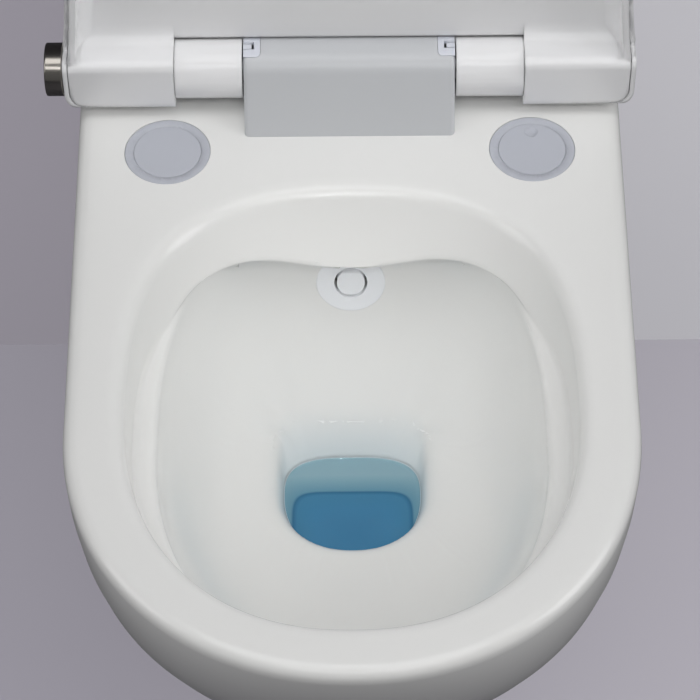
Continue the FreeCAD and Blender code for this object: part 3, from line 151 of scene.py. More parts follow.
def oval_point(shape, turn):
    """Point of an egg outline; turn 0 is its rear, half a turn its front."""
    rear = math.cos(turn) >= 0
    power = shape["rear_power"] if rear else shape["front_power"]
    reach = shape["rear"] - shape["middle"] if rear else shape["middle"] - shape["front"]
    x = shape["width"] * signed_power(math.sin(turn), 2 / power)
    y = shape["middle"] + reach * signed_power(math.cos(turn), 2 / power)
    return x, y


def between(first, second, share):
    """Egg outline between two others."""
    return {key: first[key] + (second[key] - first[key]) * share for key in first}


def hull_point(place, drop):
    """Point of the D outline at a drop below the deck; place 0 is the right end of the
    wall face, 1 the widest place of the right side, 2 the front and 4 the left end."""
    if place > 2:
        x, y = hull_point(4 - place, drop)
        return -x, y
    full = 1 - (drop / bowl_height) ** 2
    wall_x = foot_half_width_wall + (half_width_wall - foot_half_width_wall) * full
    side_x = foot_half_width_front + (half_width_widest - foot_half_width_front) * full
    front = foot_length + (bowl_length - foot_length) * full
    middle = foot_widest_reach + (widest_reach - foot_widest_reach) * full
    if place <= 1:
        return wall_x + (side_x - wall_x) * place, -middle * place
    quarter = math.pi / 2 * (place - 1)
    x = side_x * signed_power(math.cos(quarter), 2 / hull_front_power)
    y = -middle - (front - middle) * signed_power(math.sin(quarter), 2 / hull_front_power)
    return x, y


def beside(outline, at, step, distance):
    """Point at a distance to the left of an outline's run."""
    before = np.array(outline(at - step))
    after = np.array(outline(at + step))
    along = (after - before) / np.linalg.norm(after - before)
    here = np.array(outline(at))
    return here + np.array([-along[1], along[0]]) * distance


def smooth_step(value):
    value = min(1.0, max(0.0, value))
    return value * value * (3 - 2 * value)


def lip_height(turn, x, y):
    """Height of the visor lip at the rear and of the ledge elsewhere."""
    ledge = deck_height - ledge_depth - ledge_slope * (y - rim_foot["middle"])
    swing = math.cos(math.pi * min(abs(x) / lip_peak_x, 1.7))
    arch = (lip_peak_height + lip_centre_height) / 2 - (
        lip_peak_height - lip_centre_height) / 2 * swing
    share = smooth_step((math.radians(74) - turn) / math.radians(34))
    return ledge + (arch - ledge) * share


def rounded(profile, steps=4):
    """Polyline through corners of (x, y, z, radius), each corner eased by its radius."""
    points = [np.array(corner[:3], float) for corner in profile]
    radii = [corner[3] for corner in profile]
    result = [points[0]]
    for index in range(1, len(points) - 1):
        here = points[index]
        if radii[index] == 0:
            result.append(here)
            continue
        ends = []
        reach = radii[index]
        for other in (index - 1, index + 1):
            length = np.linalg.norm(points[other] - here)
            reach = min(reach, length * (0.98 if radii[other] == 0 else 0.5))
            ends.append((points[other] - here) / max(length, 1e-9))
        first, last = here + ends[0] * reach, here + ends[1] * reach
        for step in range(steps + 1):
            share = step / steps
            result.append(first * (1 - share) ** 2 + here * 2 * share * (1 - share)
                          + last * share ** 2)
    result.append(points[-1])
    return result


def outer_column(place):
    """Profile from under the foot up the outside to the flat of the deck."""
    low = deck_height - bowl_height
    profile = []
    foot_x, foot_y = hull_point(place, bowl_height)
    profile.append((foot_x * 0.7, foot_y * 0.7, low, 0.0))
    profile.append((foot_x, foot_y, low, foot_round))
    for drop in (300.0, 265.0, 230.0, 195.0, 160.0, 125.0, 90.0, 60.0, 30.0):
        x, y = hull_point(place, drop)
        profile.append((x, y, deck_height - drop, 0.0))
    x, y = hull_point(place, 0.0)
    profile.append((x, y, deck_height, rim_outer_round * 1.1))
    reach = rim_outer_round * 1.5
    if place in (0, 4):
        x, y = math.copysign(x - math.copysign(reach, x), x), 0.0
    else:
        x, y = beside(lambda at: hull_point(at, 0.0), place, 0.002, -reach)
    profile.append((x, y, deck_height, 0.0))
    return rounded(profile)


def well_level(share):
    """Egg outline and height of the well at a share of its depth."""
    full = (1 - share ** well_power) ** (1 / well_power)
    top = deck_height - ledge_depth
    low = deck_height - sump_edge_depth
    return between(sump_edge, well_top, full), top + (low - top) * share


def ramp_y(x, y, height):
    """Rear of the well drawn back into a straight ramp down to the water."""
    if height > ramp_top or y < sump_edge["middle"]:
        return y
    line = ramp_top_y - (ramp_top - height) * ramp_slope
    share = smooth_step((ramp_half_width - abs(x)) / ramp_side)
    return y + max(0.0, line - y) * share


def inner_column(turn):
    """Profile from the flat of the deck down the inside to the floor of the sump."""
    fold = min(turn, 2 * math.pi - turn)
    x, y = beside(lambda at: oval_point(opening, at), turn, 0.004, rim_inner_round * 1.5)
    profile = [(x, y, deck_height, 0.0)]
    x, y = oval_point(opening, turn)
    profile.append((x, y, deck_height, rim_inner_round * 1.1))
    x, y = oval_point(rim_foot, turn)
    lip = lip_height(fold, x, y)
    rear = smooth_step((math.radians(80) - fold) / math.radians(25))
    profile.append((x, y, lip, 5.0 + 2.0 * rear))
    x, y = oval_point(well_top, turn)
    profile.append((x, y, lip - 2.0 * (1 - rear) + 1.0 * rear, 9.0))
    for share in well_shares:
        shape, height = well_level(share)
        x, y = oval_point(shape, turn)
        radius = well_first_round if share == well_shares[0] else 0.0
        profile.append((x, ramp_y(x, y, height), height, radius))
    x, y = oval_point(sump_edge, turn)
    low = deck_height - sump_edge_depth
    profile.append((x, ramp_y(x, y, low), low, 12.0))
    for share, height in ((water_share, water_height), (0.22, -138.0), (0.3, dip_height)):
        x, y = oval_point(between(sump_edge, sump_floor, share), turn)
        profile.append((x, y, height, 5.0 if height > dip_height else 3.0))
    x, y = oval_point(sump_floor, turn)
    low = deck_height - sump_floor_depth
    profile.append((x, y, low, 6.0))
    profile.append((0.0, sump_floor["middle"], low, 0.0))
    return rounded(profile)


def inside_loop(point, loop):
    """Whether a plan point lies inside a closed loop."""
    x, y = point
    ahead = np.roll(loop, -1, axis=0)
    crosses = (loop[:, 1] > y) != (ahead[:, 1] > y)
    rise = np.where(crosses, ahead[:, 1] - loop[:, 1], 1.0)
    at = loop[:, 0] + (y - loop[:, 1]) / rise * (ahead[:, 0] - loop[:, 0])
    return bool(np.sum(crosses & (at > x)) % 2)


def deck_faces(outer_loop, inner_loop):
    """Flat of the deck between its two loops, with its round holes left open."""
    loops = [outer_loop, inner_loop]
    for x, y, radius in deck_holes:
        turns = np.linspace(0, 2 * math.pi, 96, endpoint=False)
        loops.append(np.column_stack([x + radius * np.cos(turns),
                                      y + radius * np.sin(turns)]))
    edges = []
    start = 0
    for loop in loops:
        count = len(loop)
        edges += [(start + k, start + (k + 1) % count) for k in range(count)]
        start += count
    points = [Vector((float(p[0]), float(p[1]))) for loop in loops for p in loop]
    made = delaunay_2d_cdt(points, edges, [], 0, 1e-5)
    kept = []
    for face in made[2]:
        middle = sum((made[0][k] for k in face), Vector((0.0, 0.0))) / len(face)
        if inside_loop(middle, loops[0]) and not any(inside_loop(middle, loop)
                                                     for loop in loops[1:]):
            kept.append(tuple(face))
    return [(p.x, p.y, deck_height) for p in made[0]], kept


def rosette_offset(point):
    """Distance of a point from the rosette's middle, along its normal and across it,
    and that normal."""
    normal = np.array([0.0, -math.cos(rosette_tilt), math.sin(rosette_tilt)])
    away = np.array(point) - np.array(rosette_centre)
    along = float(away @ normal)
    return along, float(np.linalg.norm(away - normal * along)), normal


def settle_rosette(point):
    """Press the rear wall of the well flat behind the rosette."""
    if (not flat_low <= point[2] <= flat_high or point[1] < flat_front
            or abs(point[0]) > flat_half_width):
        return point
    along, across, normal = rosette_offset(point)
    if abs(along) > flat_reach:
        return point
    share = smooth_step((rosette_radius + flat_margin - across) / flat_fade)
    return point + normal * (-rosette_gap - along) * share


def in_opening(point):
    """Whether a place of the skin lies over the nozzle bore or the mouth of the trap."""
    if point[2] < 30 and point[1] > -250 and abs(point[0]) < 30:
        along, across, _ = rosette_offset(point)
        if abs(along) < bore_reach and across < bore_radius:
            return True
    return (abs(point[0]) < 20 and point[1] > sump_floor["middle"] + 8
            and deck_height - sump_floor_depth + 4 < point[2] < dip_height)


def casting_skin():
    """Smooth skin over everything of the casting that a user sees. It is left open over
    the nozzle bore and the trap, and it closes the mouths of the two flush ducts."""
    places = [k / side_columns for k in range(side_columns)]
    places += [1 + k / front_columns for k in range(front_columns)]
    places += [4 - place for place in reversed(places)]
    places.insert(len(places) // 2, 2.0)
    outer = [outer_column(place) for place in places]
    inner = [inner_column(2 * math.pi * k / inner_columns) for k in range(inner_columns)]
    inner = [[settle_rosette(point) for point in column] for column in inner]
    work = bmesh.new()

    def add_grid(columns, closed):
        rows = [[work.verts.new(Vector(p) * MM) for p in column] for column in columns]
        for index in range(len(rows) if closed else len(rows) - 1):
            here, after = rows[index], rows[(index + 1) % len(rows)]
            for row in range(len(here) - 1):
                corners = (here[row], after[row], after[row + 1], here[row + 1])
                if closed and in_opening(sum((v.co for v in corners), Vector()) / 4 / MM):
                    continue
                work.faces.new(corners)

    add_grid(outer, False)
    add_grid(inner, True)
    foot = [work.verts.new(Vector(column[0]) * MM) for column in outer]
    work.faces.new(foot)
    points, faces = deck_faces(np.array([column[-1][:2] for column in outer]),
                               np.array([column[0][:2] for column in inner]))
    flat = [work.verts.new(Vector(p) * MM) for p in points]
    for face in faces:
        work.faces.new([flat[k] for k in face])
    bmesh.ops.remove_doubles(work, verts=work.verts, dist=0.00002)
    for turn in range(ease_rounds):
        eased = [v for v in work.verts
                 if abs(v.co.x) < ease_half_width - ease_side_step * turn
                 and ease_front + ease_front_step * turn < v.co.y < ease_rear
                 and ease_low < v.co.z < ease_high]
        bmesh.ops.smooth_vert(work, verts=eased, factor=0.5, use_axis_x=True,
                              use_axis_y=True, use_axis_z=True)
    loose = [v for v in work.verts if not v.link_faces]
    bmesh.ops.delete(work, geom=loose, context="VERTS")
    bmesh.ops.recalc_face_normals(work, faces=work.faces)
    deck = min(work.faces, key=lambda f: (f.calc_center_median()
                                          - Vector((0.15, -0.1, 0.08))).length)
    if deck.normal.z < 0:
        bmesh.ops.reverse_faces(work, faces=work.faces)
    return work


def beside_cap(point):
    """Whether a place lies below the deck in line with a cap's well or a hinge bolt's
    hole. This has no lower end, so one large face of the underside below the left hinge
    bolt stays as well, in the plane of the skin, and shows dark from below."""
    return point.z < (deck_height - 0.1) * MM and any(
        (Vector((x, y)) * MM - point.xy).length < (radius + 1) * MM
        for x, y, radius in deck_holes)


# Which faces of the solid are dropped for the skin, in metres.
skin_gap = 0.0065       # a face this near to the skin that looks the same way
same_way = 0.25         # least cosine between two faces that look the same way
skin_reach = 0.025      # skin farther off than this belongs to another wall
front_part = -0.19      # only in front of this a face can stand over the skin
over_middle = 0.0001    # how far the middle of a face may stand over the skin
over_corner = 0.001     # how far its corners may
wall_side = -0.02       # faces towards the wall behind this stay
ramp_zone = ((-0.058, 0.058), (-0.312, -0.235), (-0.125, -0.05))


def on_ramp(middle, normal):
    """Whether a face of the solid is the curved wall that the ramp takes the place of."""
    return (all(low < value < high for value, (low, high) in zip(middle, ramp_zone))
            and normal.z * 0.8 > normal.y * 0.6)


def casting_mesh():
    """The skin with what is left of the solid behind it: wall face, hollow and trap.
    The two aren't joined, so the mesh has open edges where one ends over the other."""
    work = casting_skin()
    tree = BVHTree.FromBMesh(work)
    rest = bmesh.new()
    rest.from_mesh(nodes["bowl"].data)
    bmesh.ops.remove_doubles(rest, verts=rest.verts, dist=0.000005)
    bmesh.ops.recalc_face_normals(rest, faces=rest.faces)
    for longest in (0.06, 0.03):
        far = [edge for edge in rest.edges if edge.calc_length() > longest
               and edge.verts[0].co.y < front_part]
        bmesh.ops.subdivide_edges(rest, edges=far, cuts=1)
        bmesh.ops.triangulate(rest, faces=rest.faces)

    def over_skin(point):
        place, normal, _, away = tree.find_nearest(point)
        return (point - place).dot(normal) if away < skin_reach else -1.0

    gone = []
    for face in rest.faces:
        middle = face.calc_center_median()
        if beside_cap(middle) or (face.normal.y > 0.95 and middle.y > wall_side):
            continue
        place, normal, _, away = tree.find_nearest(middle)
        covered = away < skin_gap and normal.dot(face.normal) > same_way
        stands_over = middle.y < front_part and (
            over_skin(middle) > over_middle
            or max(over_skin(v.co) for v in face.verts) > over_corner)
        if covered or on_ramp(middle, face.normal) or stands_over:
            gone.append(face)
    bmesh.ops.delete(rest, geom=gone, context="FACES")
    joined = bpy.data.meshes.new("casting_rest")
    rest.to_mesh(joined)
    work.from_mesh(joined)
    mesh = bpy.data.meshes.new("pan_casting")
    work.to_mesh(mesh)
    work.free()
    rest.free()
    smooth_faces(mesh, 32.0)
    return mesh


def smooth_faces(mesh, angle=30.0):
    """Smooth shading with sharp edges past an angle."""
    for polygon in mesh.polygons:
        polygon.use_smooth = True
    mesh.set_sharp_from_angle(angle=math.radians(angle))


def flat_faces_first(mesh):
    """The same mesh with normals that keep its large faces flat beside small rounds."""
    maker = bpy.data.objects.new("normal_maker", mesh)
    bpy.context.scene.collection.objects.link(maker)
    weigh = maker.modifiers.new("weigh", "WEIGHTED_NORMAL")
    weigh.mode = "FACE_AREA"
    weigh.keep_sharp = True
    graph = bpy.context.evaluated_depsgraph_get()
    result = bpy.data.meshes.new_from_object(maker.evaluated_get(graph))
    bpy.data.objects.remove(maker)
    return result


def hex_colour(text):
    """sRGB hex value as linear red, green, blue and alpha."""
    values = [int(text[k:k + 2], 16) / 255 for k in (1, 3, 5)]
    linear = [v / 12.92 if v <= 0.04045 else ((v + 0.055) / 1.055) ** 2.4 for v in values]
    return linear + [1.0]


def add_node(tree, kind, settings=None, links=None, inputs=None):
    """A node with its settings, socket values and incoming links."""
    node = tree.nodes.new(kind)
    for key, value in (settings or {}).items():
        setattr(node, key, value)
    for key, value in (inputs or {}).items():
        node.inputs[key].default_value = value
    for key, source in (links or {}).items():
        tree.links.new(source, node.inputs[key])
    return node


def new_material(name):
    """Empty node material with its output and Object coordinates."""
    material = bpy.data.materials.new(name)
    material.use_nodes = True
    tree = material.node_tree
    tree.nodes.clear()
    output = add_node(tree, "ShaderNodeOutputMaterial")
    place = add_node(tree, "ShaderNodeTexCoord")
    return material, tree, output, place.outputs["Object"]


def surface_bump(tree, place, size_mm, depth_mm, detail=2.0, edge_mm=0.0):
    """Fine relief with a real size, over edges eased by a mould's small radius."""
    noise = add_node(tree, "ShaderNodeTexNoise", None, {"Vector": place},
                     {"Scale": 1 / (size_mm * MM), "Detail": detail})
    links = {"Height": noise.outputs["Fac"]}
    if edge_mm > 0:
        eased = add_node(tree, "ShaderNodeBevel", {"samples": 6}, None,
                         {"Radius": edge_mm * MM})
        links["Normal"] = eased.outputs["Normal"]
    bump = add_node(tree, "ShaderNodeBump", None, links,
                    {"Strength": 1.0, "Distance": depth_mm * MM})
    return bump.outputs["Normal"]


def moulded(name, colour, roughness, grain_mm, grain_depth_mm, edge_mm=0.0):
    """Moulded plastic or rubber with a fine real grain."""
    material, tree, output, place = new_material(name)
    normal = surface_bump(tree, place, grain_mm, grain_depth_mm, 2.0, edge_mm)
    shader = add_node(tree, "ShaderNodeBsdfPrincipled", None, {"Normal": normal},
                      {"Base Color": hex_colour(colour), "Roughness": roughness,
                       "IOR": 1.5})
    tree.links.new(shader.outputs["BSDF"], output.inputs["Surface"])
    return material


# Blue light of the water, painted into the glaze's colour: reach in millimetres below and
# above the water line, and the edges of the painted zone across and towards the front in
# metres.
glow_paint_below, glow_paint_above = 4, 34
glow_paint_share = 0.3
glow_paint_edge_x = (0.046, 0.052)
glow_paint_edge_y = (-0.352, -0.340)


def glazed_china():
    """White vitreous china under a fired glaze: clear soft reflections and a faint
    orange peel. Close above the water line, and a little below it, the blue glow of the
    water is painted into its colour."""
    material, tree, output, place = new_material("glazed vitreous china")
    normal = surface_bump(tree, place, 14.0, 0.012, 1.0)
    split = add_node(tree, "ShaderNodeSeparateXYZ", None, {"Vector": place})
    near = add_node(tree, "ShaderNodeMapRange", {"interpolation_type": "SMOOTHSTEP"},
                    {"Value": split.outputs["Z"]},
                    {"From Min": (water_height - glow_paint_below) * MM,
                     "From Max": (water_height + glow_paint_above) * MM,
                     "To Min": glow_paint_share, "To Max": 0.0})
    side = add_node(tree, "ShaderNodeMath", {"operation": "ABSOLUTE"},
                    {0: split.outputs["X"]})
    across = add_node(tree, "ShaderNodeMapRange", {"interpolation_type": "SMOOTHSTEP"},
                      {"Value": side.outputs["Value"]},
                      {"From Min": glow_paint_edge_x[0], "From Max": glow_paint_edge_x[1],
                       "To Min": 1.0, "To Max": 0.0})
    behind = add_node(tree, "ShaderNodeMapRange", {"interpolation_type": "SMOOTHSTEP"},
                      {"Value": split.outputs["Y"]},
                      {"From Min": glow_paint_edge_y[0], "From Max": glow_paint_edge_y[1],
                       "To Min": 0.0, "To Max": 1.0})
    hole = add_node(tree, "ShaderNodeMath", {"operation": "MULTIPLY"},
                    {0: across.outputs["Result"], 1: behind.outputs["Result"]})
    painted_glow_amount = add_node(tree, "ShaderNodeMath", {"operation": "MULTIPLY"},
                      {0: near.outputs["Result"], 1: hole.outputs["Value"]})
    # Painted light: the water's blue glow is mixed into the glaze's base colour here.
    mix = add_node(tree, "ShaderNodeMix", {"data_type": "RGBA"},
                   {"Factor": painted_glow_amount.outputs["Value"]},
                   {"A": hex_colour("#f0f0ee"), "B": hex_colour("#86b4c8")})
    shader = add_node(tree, "ShaderNodeBsdfPrincipled", None,
                      {"Normal": normal, "Base Color": mix.outputs["Result"]},
                      {"Roughness": 0.2, "IOR": 1.5})
    tree.links.new(shader.outputs["BSDF"], output.inputs["Surface"])
    return material


brush_stretch = (1.0, 40.0, 40.0)


def brushed_metal(name, colour, roughness, hair_mm, depth_mm):
    """Metal with fine brushing lines, drawn out along X by the stretch."""
    material, tree, output, place = new_material(name)
    scaled = add_node(tree, "ShaderNodeMapping", None, {"Vector": place})
    scaled.inputs["Scale"].default_value = brush_stretch
    noise = add_node(tree, "ShaderNodeTexNoise", None, {"Vector": scaled.outputs["Vector"]},
                     {"Scale": 1 / (hair_mm * MM) / max(brush_stretch), "Detail": 2.0})
    bump = add_node(tree, "ShaderNodeBump", None, {"Height": noise.outputs["Fac"]},
                    {"Strength": 1.0, "Distance": depth_mm * MM})
    shader = add_node(tree, "ShaderNodeBsdfPrincipled", None,
                      {"Normal": bump.outputs["Normal"]},
                      {"Base Color": hex_colour(colour), "Metallic": 1.0,
                       "Roughness": roughness})
    tree.links.new(shader.outputs["BSDF"], output.inputs["Surface"])
    return material


# Throat of the trap under the water, where the surface is painted darker: middle and half
# size in metres, and its squareness.
throat_middle_y = -0.3560
throat_half_width = 0.0405
throat_half_length = 0.0346
throat_power = 6.0


def tinted_water():
    """Still water with a blue rinse. Its colour is set by place: pale over the shallow rim
    and dark over the deep throat, which is partly the water's own deeper blue and partly
    painted shade of the hole, with a darker painted band along the throat's edge. A thin
    painted highlight lines the edge against the glaze, and the top mirrors softly."""
    material, tree, output, place = new_material("blue rinse water")
    split = add_node(tree, "ShaderNodeSeparateXYZ", None, {"Vector": place})
    shift = add_node(tree, "ShaderNodeMath", {"operation": "SUBTRACT"},
                     {0: split.outputs["Y"]}, {1: throat_middle_y})
    parts = []
    for source, half in ((split.outputs["X"], throat_half_width),
                         (shift.outputs["Value"], throat_half_length)):
        share = add_node(tree, "ShaderNodeMath", {"operation": "DIVIDE"},
                         {0: source}, {1: half})
        size = add_node(tree, "ShaderNodeMath", {"operation": "ABSOLUTE"},
                        {0: share.outputs["Value"]})
        parts.append(add_node(tree, "ShaderNodeMath", {"operation": "POWER"},
                              {0: size.outputs["Value"]}, {1: throat_power}))
    both = add_node(tree, "ShaderNodeMath", {"operation": "ADD"},
                    {0: parts[0].outputs["Value"], 1: parts[1].outputs["Value"]})
    ring = add_node(tree, "ShaderNodeMath", {"operation": "POWER"},
                    {0: both.outputs["Value"]}, {1: 1 / throat_power})
    half = add_node(tree, "ShaderNodeMath", {"operation": "MULTIPLY"},
                    {0: ring.outputs["Value"]}, {1: 0.5})
    ramp = add_node(tree, "ShaderNodeValToRGB", None, {"Fac": half.outputs["Value"]})
    # Pale tones over the shallow rim and darker ones over the deep throat: the water's
    # deeper blue and painted shade of the hole. The dark tone at 0.495 is a painted shade
    # band along the throat's edge.
    tones = ((0.0, "#569fcd"), (0.30, "#5aa4d2"), (0.46, "#5ba3cc"), (0.495, "#4a8bb3"),
             (0.515, "#86bdd4"), (0.70, "#b4dbe8"))
    bar = ramp.color_ramp
    while len(bar.elements) < len(tones):
        bar.elements.new(0.5)
    for element, (at, tone) in zip(bar.elements, tones):
        element.position = at
        element.color = hex_colour(tone)
    clear = add_node(tree, "ShaderNodeBsdfTransparent", None,
                     {"Color": ramp.outputs["Color"]})
    body = add_node(tree, "ShaderNodeBsdfDiffuse", None, {"Color": ramp.outputs["Color"]})
    blend = add_node(tree, "ShaderNodeMixShader", None,
                     {1: clear.outputs["BSDF"], 2: body.outputs["BSDF"]}, {"Fac": 0.6})
    gloss = add_node(tree, "ShaderNodeBsdfGlossy", None, None, {"Roughness": 0.03})
    angle = add_node(tree, "ShaderNodeFresnel", None, None, {"IOR": 1.33})
    top = add_node(tree, "ShaderNodeMixShader", None,
                   {"Fac": angle.outputs["Fac"], 1: blend.outputs["Shader"],
                    2: gloss.outputs["BSDF"]})
    # Painted highlight: a thin white line of diffuse colour where the water's raised edge
    # meets the glaze.
    meniscus_highlight_mask = add_node(tree, "ShaderNodeMapRange", {"interpolation_type": "SMOOTHSTEP"},
                   {"Value": split.outputs["Z"]},
                   {"From Min": (water_height + 0.25) * MM,
                    "From Max": (water_height + 0.7) * MM,
                    "To Min": 0.0, "To Max": 0.75})
    line = add_node(tree, "ShaderNodeBsdfDiffuse", None, None,
                    {"Color": hex_colour("#eef4f6")})
    whole = add_node(tree, "ShaderNodeMixShader", None,
                     {"Fac": meniscus_highlight_mask.outputs["Result"], 1: top.outputs["Shader"],
                      2: line.outputs["BSDF"]})
    tree.links.new(whole.outputs["Shader"], output.inputs["Surface"])
    return material


china = glazed_china()
# Seat and lid: pressed thermoset, hard and glossy, neutral white.
white_gloss = moulded("moulded white thermoset", "#f3f3f4", 0.2, 9.0, 0.004, 2.6)
# Hinge cover: injection moulded ABS with a fine satin texture.
grey_satin = moulded("satin grey ABS", "#ccced1", 0.28, 0.6, 0.004, 0.3)
# Deck caps: satin polypropylene, a little bluer than the cover.
cap_satin = moulded("satin blue grey polypropylene", "#bfc2cb", 0.38, 0.5, 0.004, 0.3)
# Latch clips and plates: milky polypropylene.
clip_milky = moulded("milky polypropylene", "#dcdfe8", 0.25, 0.8, 0.002, 0.2)
# Nozzle and rosette: polished white ABS with a cool tone.
nozzle_white = moulded("polished cool white ABS", "#f6f8fb", 0.22, 2.0, 0.001, 0.3)
# Black technical plastic of the modules: glass filled nylon, dull.
black_nylon = moulded("glass filled black nylon", "#1c1d1f", 0.55, 0.4, 0.01)
# Gears and impeller: natural acetal.
acetal = moulded("natural acetal", "#dcdcd6", 0.35, 0.8, 0.002)
# Feet and pads: soft pale elastomer.
soft_foot = moulded("pale thermoplastic elastomer", "#d3d5d7", 0.6, 0.5, 0.004)
# Seals: black EPDM rubber.
rubber = moulded("black EPDM rubber", "#141414", 0.65, 0.5, 0.01)
# Knob: turned and brushed stainless steel.
knob_steel = brushed_metal("brushed stainless steel", "#99958f", 0.2, 0.25, 0.004)
# Axle and screws: bright zinc plated steel.
plain_steel = brushed_metal("zinc plated steel", "#b9bcc0", 0.35, 0.6, 0.003)
# Valve body: machined brass.
brass = brushed_metal("machined brass", "#c0a062", 0.3, 0.5, 0.003)

slot_materials = {
    "china": china, "white_plastic": white_gloss, "grey_plastic": grey_satin,
    "cap_plastic": cap_satin, "clear_plastic": clip_milky, "nozzle_plastic": nozzle_white,
    "black_plastic": black_nylon, "gear_plastic": acetal, "soft_foot": soft_foot,
    "rubber": rubber, "steel": plain_steel, "steel_plate": plain_steel,
    "knob_steel": knob_steel, "brass": brass,
}

node_slot = {item["node"]: item["material_slot"] for item in frame["record"]["subparts"]}
for name, piece in nodes.items():
    piece.data.materials.clear()
    piece.data.materials.append(slot_materials[node_slot[name]])


def place_piece(name, mesh, material, body):
    """Object at the origin that rides on a body and wears the finish it is given."""
    piece = bpy.data.objects.new(name, mesh)
    bpy.context.scene.collection.objects.link(piece)
    mesh.materials.clear()
    mesh.materials.append(material)
    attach(piece, body)
    return piece


casting = place_piece("pan_casting", casting_mesh(), china, "pan")
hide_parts("bowl")


def smooth_piece(node_name):
    """The same solid with one smooth shaded skin in place of loose facets."""
    mesh = nodes[node_name].data.copy()
    work = bmesh.new()
    work.from_mesh(mesh)
    bmesh.ops.remove_doubles(work, verts=work.verts, dist=0.000005)
    bmesh.ops.recalc_face_normals(work, faces=work.faces)
    work.to_mesh(mesh)
    work.free()
    smooth_faces(mesh, 32.0)
    mesh = flat_faces_first(mesh)
    slot = node_slot[node_name]
    piece = place_piece(node_name + "_skin", mesh, slot_materials[slot],
                        nodes[node_name]["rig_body"])
    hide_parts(node_name)


for name in sorted(nodes):
    if name != "bowl":
        smooth_piece(name)


def water_mesh():
    """Flat water surface in the sump with a small raised edge against the glaze."""
    outline = between(sump_edge, sump_floor, water_share)
    middle_y = outline["middle"]
    rings = ((1.0, 0.9), (0.992, 0.35), (0.975, 0.08), (0.95, 0.0), (0.6, 0.0), (0.25, 0.0))
    steps = 128
    work = bmesh.new()
    rows = []
    for share, rise in rings:
        row = []
        for step in range(steps):
            x, y = oval_point(outline, 2 * math.pi * step / steps)
            y = middle_y + (y - middle_y) * share
            row.append(work.verts.new(Vector((x * share, y, water_height + rise)) * MM))
        rows.append(row)
    centre = work.verts.new(Vector((0.0, middle_y, water_height)) * MM)
    for step in range(steps):
        after = (step + 1) % steps
        for here, inward in zip(rows, rows[1:]):
            work.faces.new((here[step], inward[step], inward[after], here[after]))
        work.faces.new((rows[-1][step], centre, rows[-1][after]))
    bmesh.ops.recalc_face_normals(work, faces=work.faces)
    work.faces.ensure_lookup_table()
    if work.faces[-1].normal.z < 0:
        bmesh.ops.reverse_faces(work, faces=work.faces)
    mesh = bpy.data.meshes.new("water_surface")
    work.to_mesh(mesh)
    work.free()
    smooth_faces(mesh, 60.0)
    return mesh


place_piece("water_surface", water_mesh(), tinted_water(), "pan")


# Middle of the first ridge on the water connection, in millimetres.
thread_start = Vector((-106.0, -14.0, -60.0))


def thread_rings():
    """Ridges of the water connection's thread, one ring repeated along it."""
    tree = bpy.data.node_groups.new("thread_rings", "GeometryNodeTree")
    tree.interface.new_socket("Count", in_out="INPUT", socket_type="NodeSocketInt")
    tree.interface.new_socket("Pitch", in_out="INPUT", socket_type="NodeSocketFloat")
    tree.interface.new_socket("Radius", in_out="INPUT", socket_type="NodeSocketFloat")
    tree.interface.new_socket("Ridge", in_out="INPUT", socket_type="NodeSocketFloat")
    tree.interface.new_socket("Geometry", in_out="OUTPUT", socket_type="NodeSocketGeometry")
    given = add_node(tree, "NodeGroupInput")
    step = add_node(tree, "ShaderNodeCombineXYZ", None, {"Y": given.outputs["Pitch"]})
    line = add_node(tree, "GeometryNodeMeshLine", None,
                    {"Count": given.outputs["Count"], "Offset": step.outputs["Vector"]})
    path = add_node(tree, "GeometryNodeCurvePrimitiveCircle", None,
                    {"Radius": given.outputs["Radius"]}, {"Resolution": 48})
    section = add_node(tree, "GeometryNodeCurvePrimitiveCircle", None,
                       {"Radius": given.outputs["Ridge"]}, {"Resolution": 8})
    ring = add_node(tree, "GeometryNodeCurveToMesh", None,
                    {"Curve": path.outputs["Curve"],
                     "Profile Curve": section.outputs["Curve"]})
    upright = add_node(tree, "GeometryNodeTransform", None,
                       {"Geometry": ring.outputs["Mesh"]},
                       {"Rotation": (math.pi / 2, 0, 0)})
    spread = add_node(tree, "GeometryNodeInstanceOnPoints", None,
                      {"Points": line.outputs["Mesh"],
                       "Instance": upright.outputs["Geometry"]})
    real = add_node(tree, "GeometryNodeRealizeInstances", None,
                    {"Geometry": spread.outputs["Instances"]})
    finish = add_node(tree, "GeometryNodeSetMaterial", None,
                      {"Geometry": real.outputs["Geometry"]}, {"Material": brass})
    add_node(tree, "NodeGroupOutput", None, {"Geometry": finish.outputs["Geometry"]})
    maker = bpy.data.objects.new("thread_maker", bpy.data.meshes.new("thread_maker"))
    bpy.context.scene.collection.objects.link(maker)
    spread_on = maker.modifiers.new("rings", "NODES")
    spread_on.node_group = tree
    sizes = {"Count": 9, "Pitch": 1.3 * MM, "Radius": 8.05 * MM, "Ridge": 0.35 * MM}
    for item in tree.interface.items_tree:
        if item.name in sizes:
            spread_on[item.identifier] = sizes[item.name]
    graph = bpy.context.evaluated_depsgraph_get()
    mesh = bpy.data.meshes.new_from_object(maker.evaluated_get(graph))
    bpy.data.objects.remove(maker)
    mesh.transform(Matrix.Translation(thread_start * MM))
    smooth_faces(mesh, 60.0)
    place_piece("inlet_thread_rings", mesh, brass, "pan")


thread_rings()


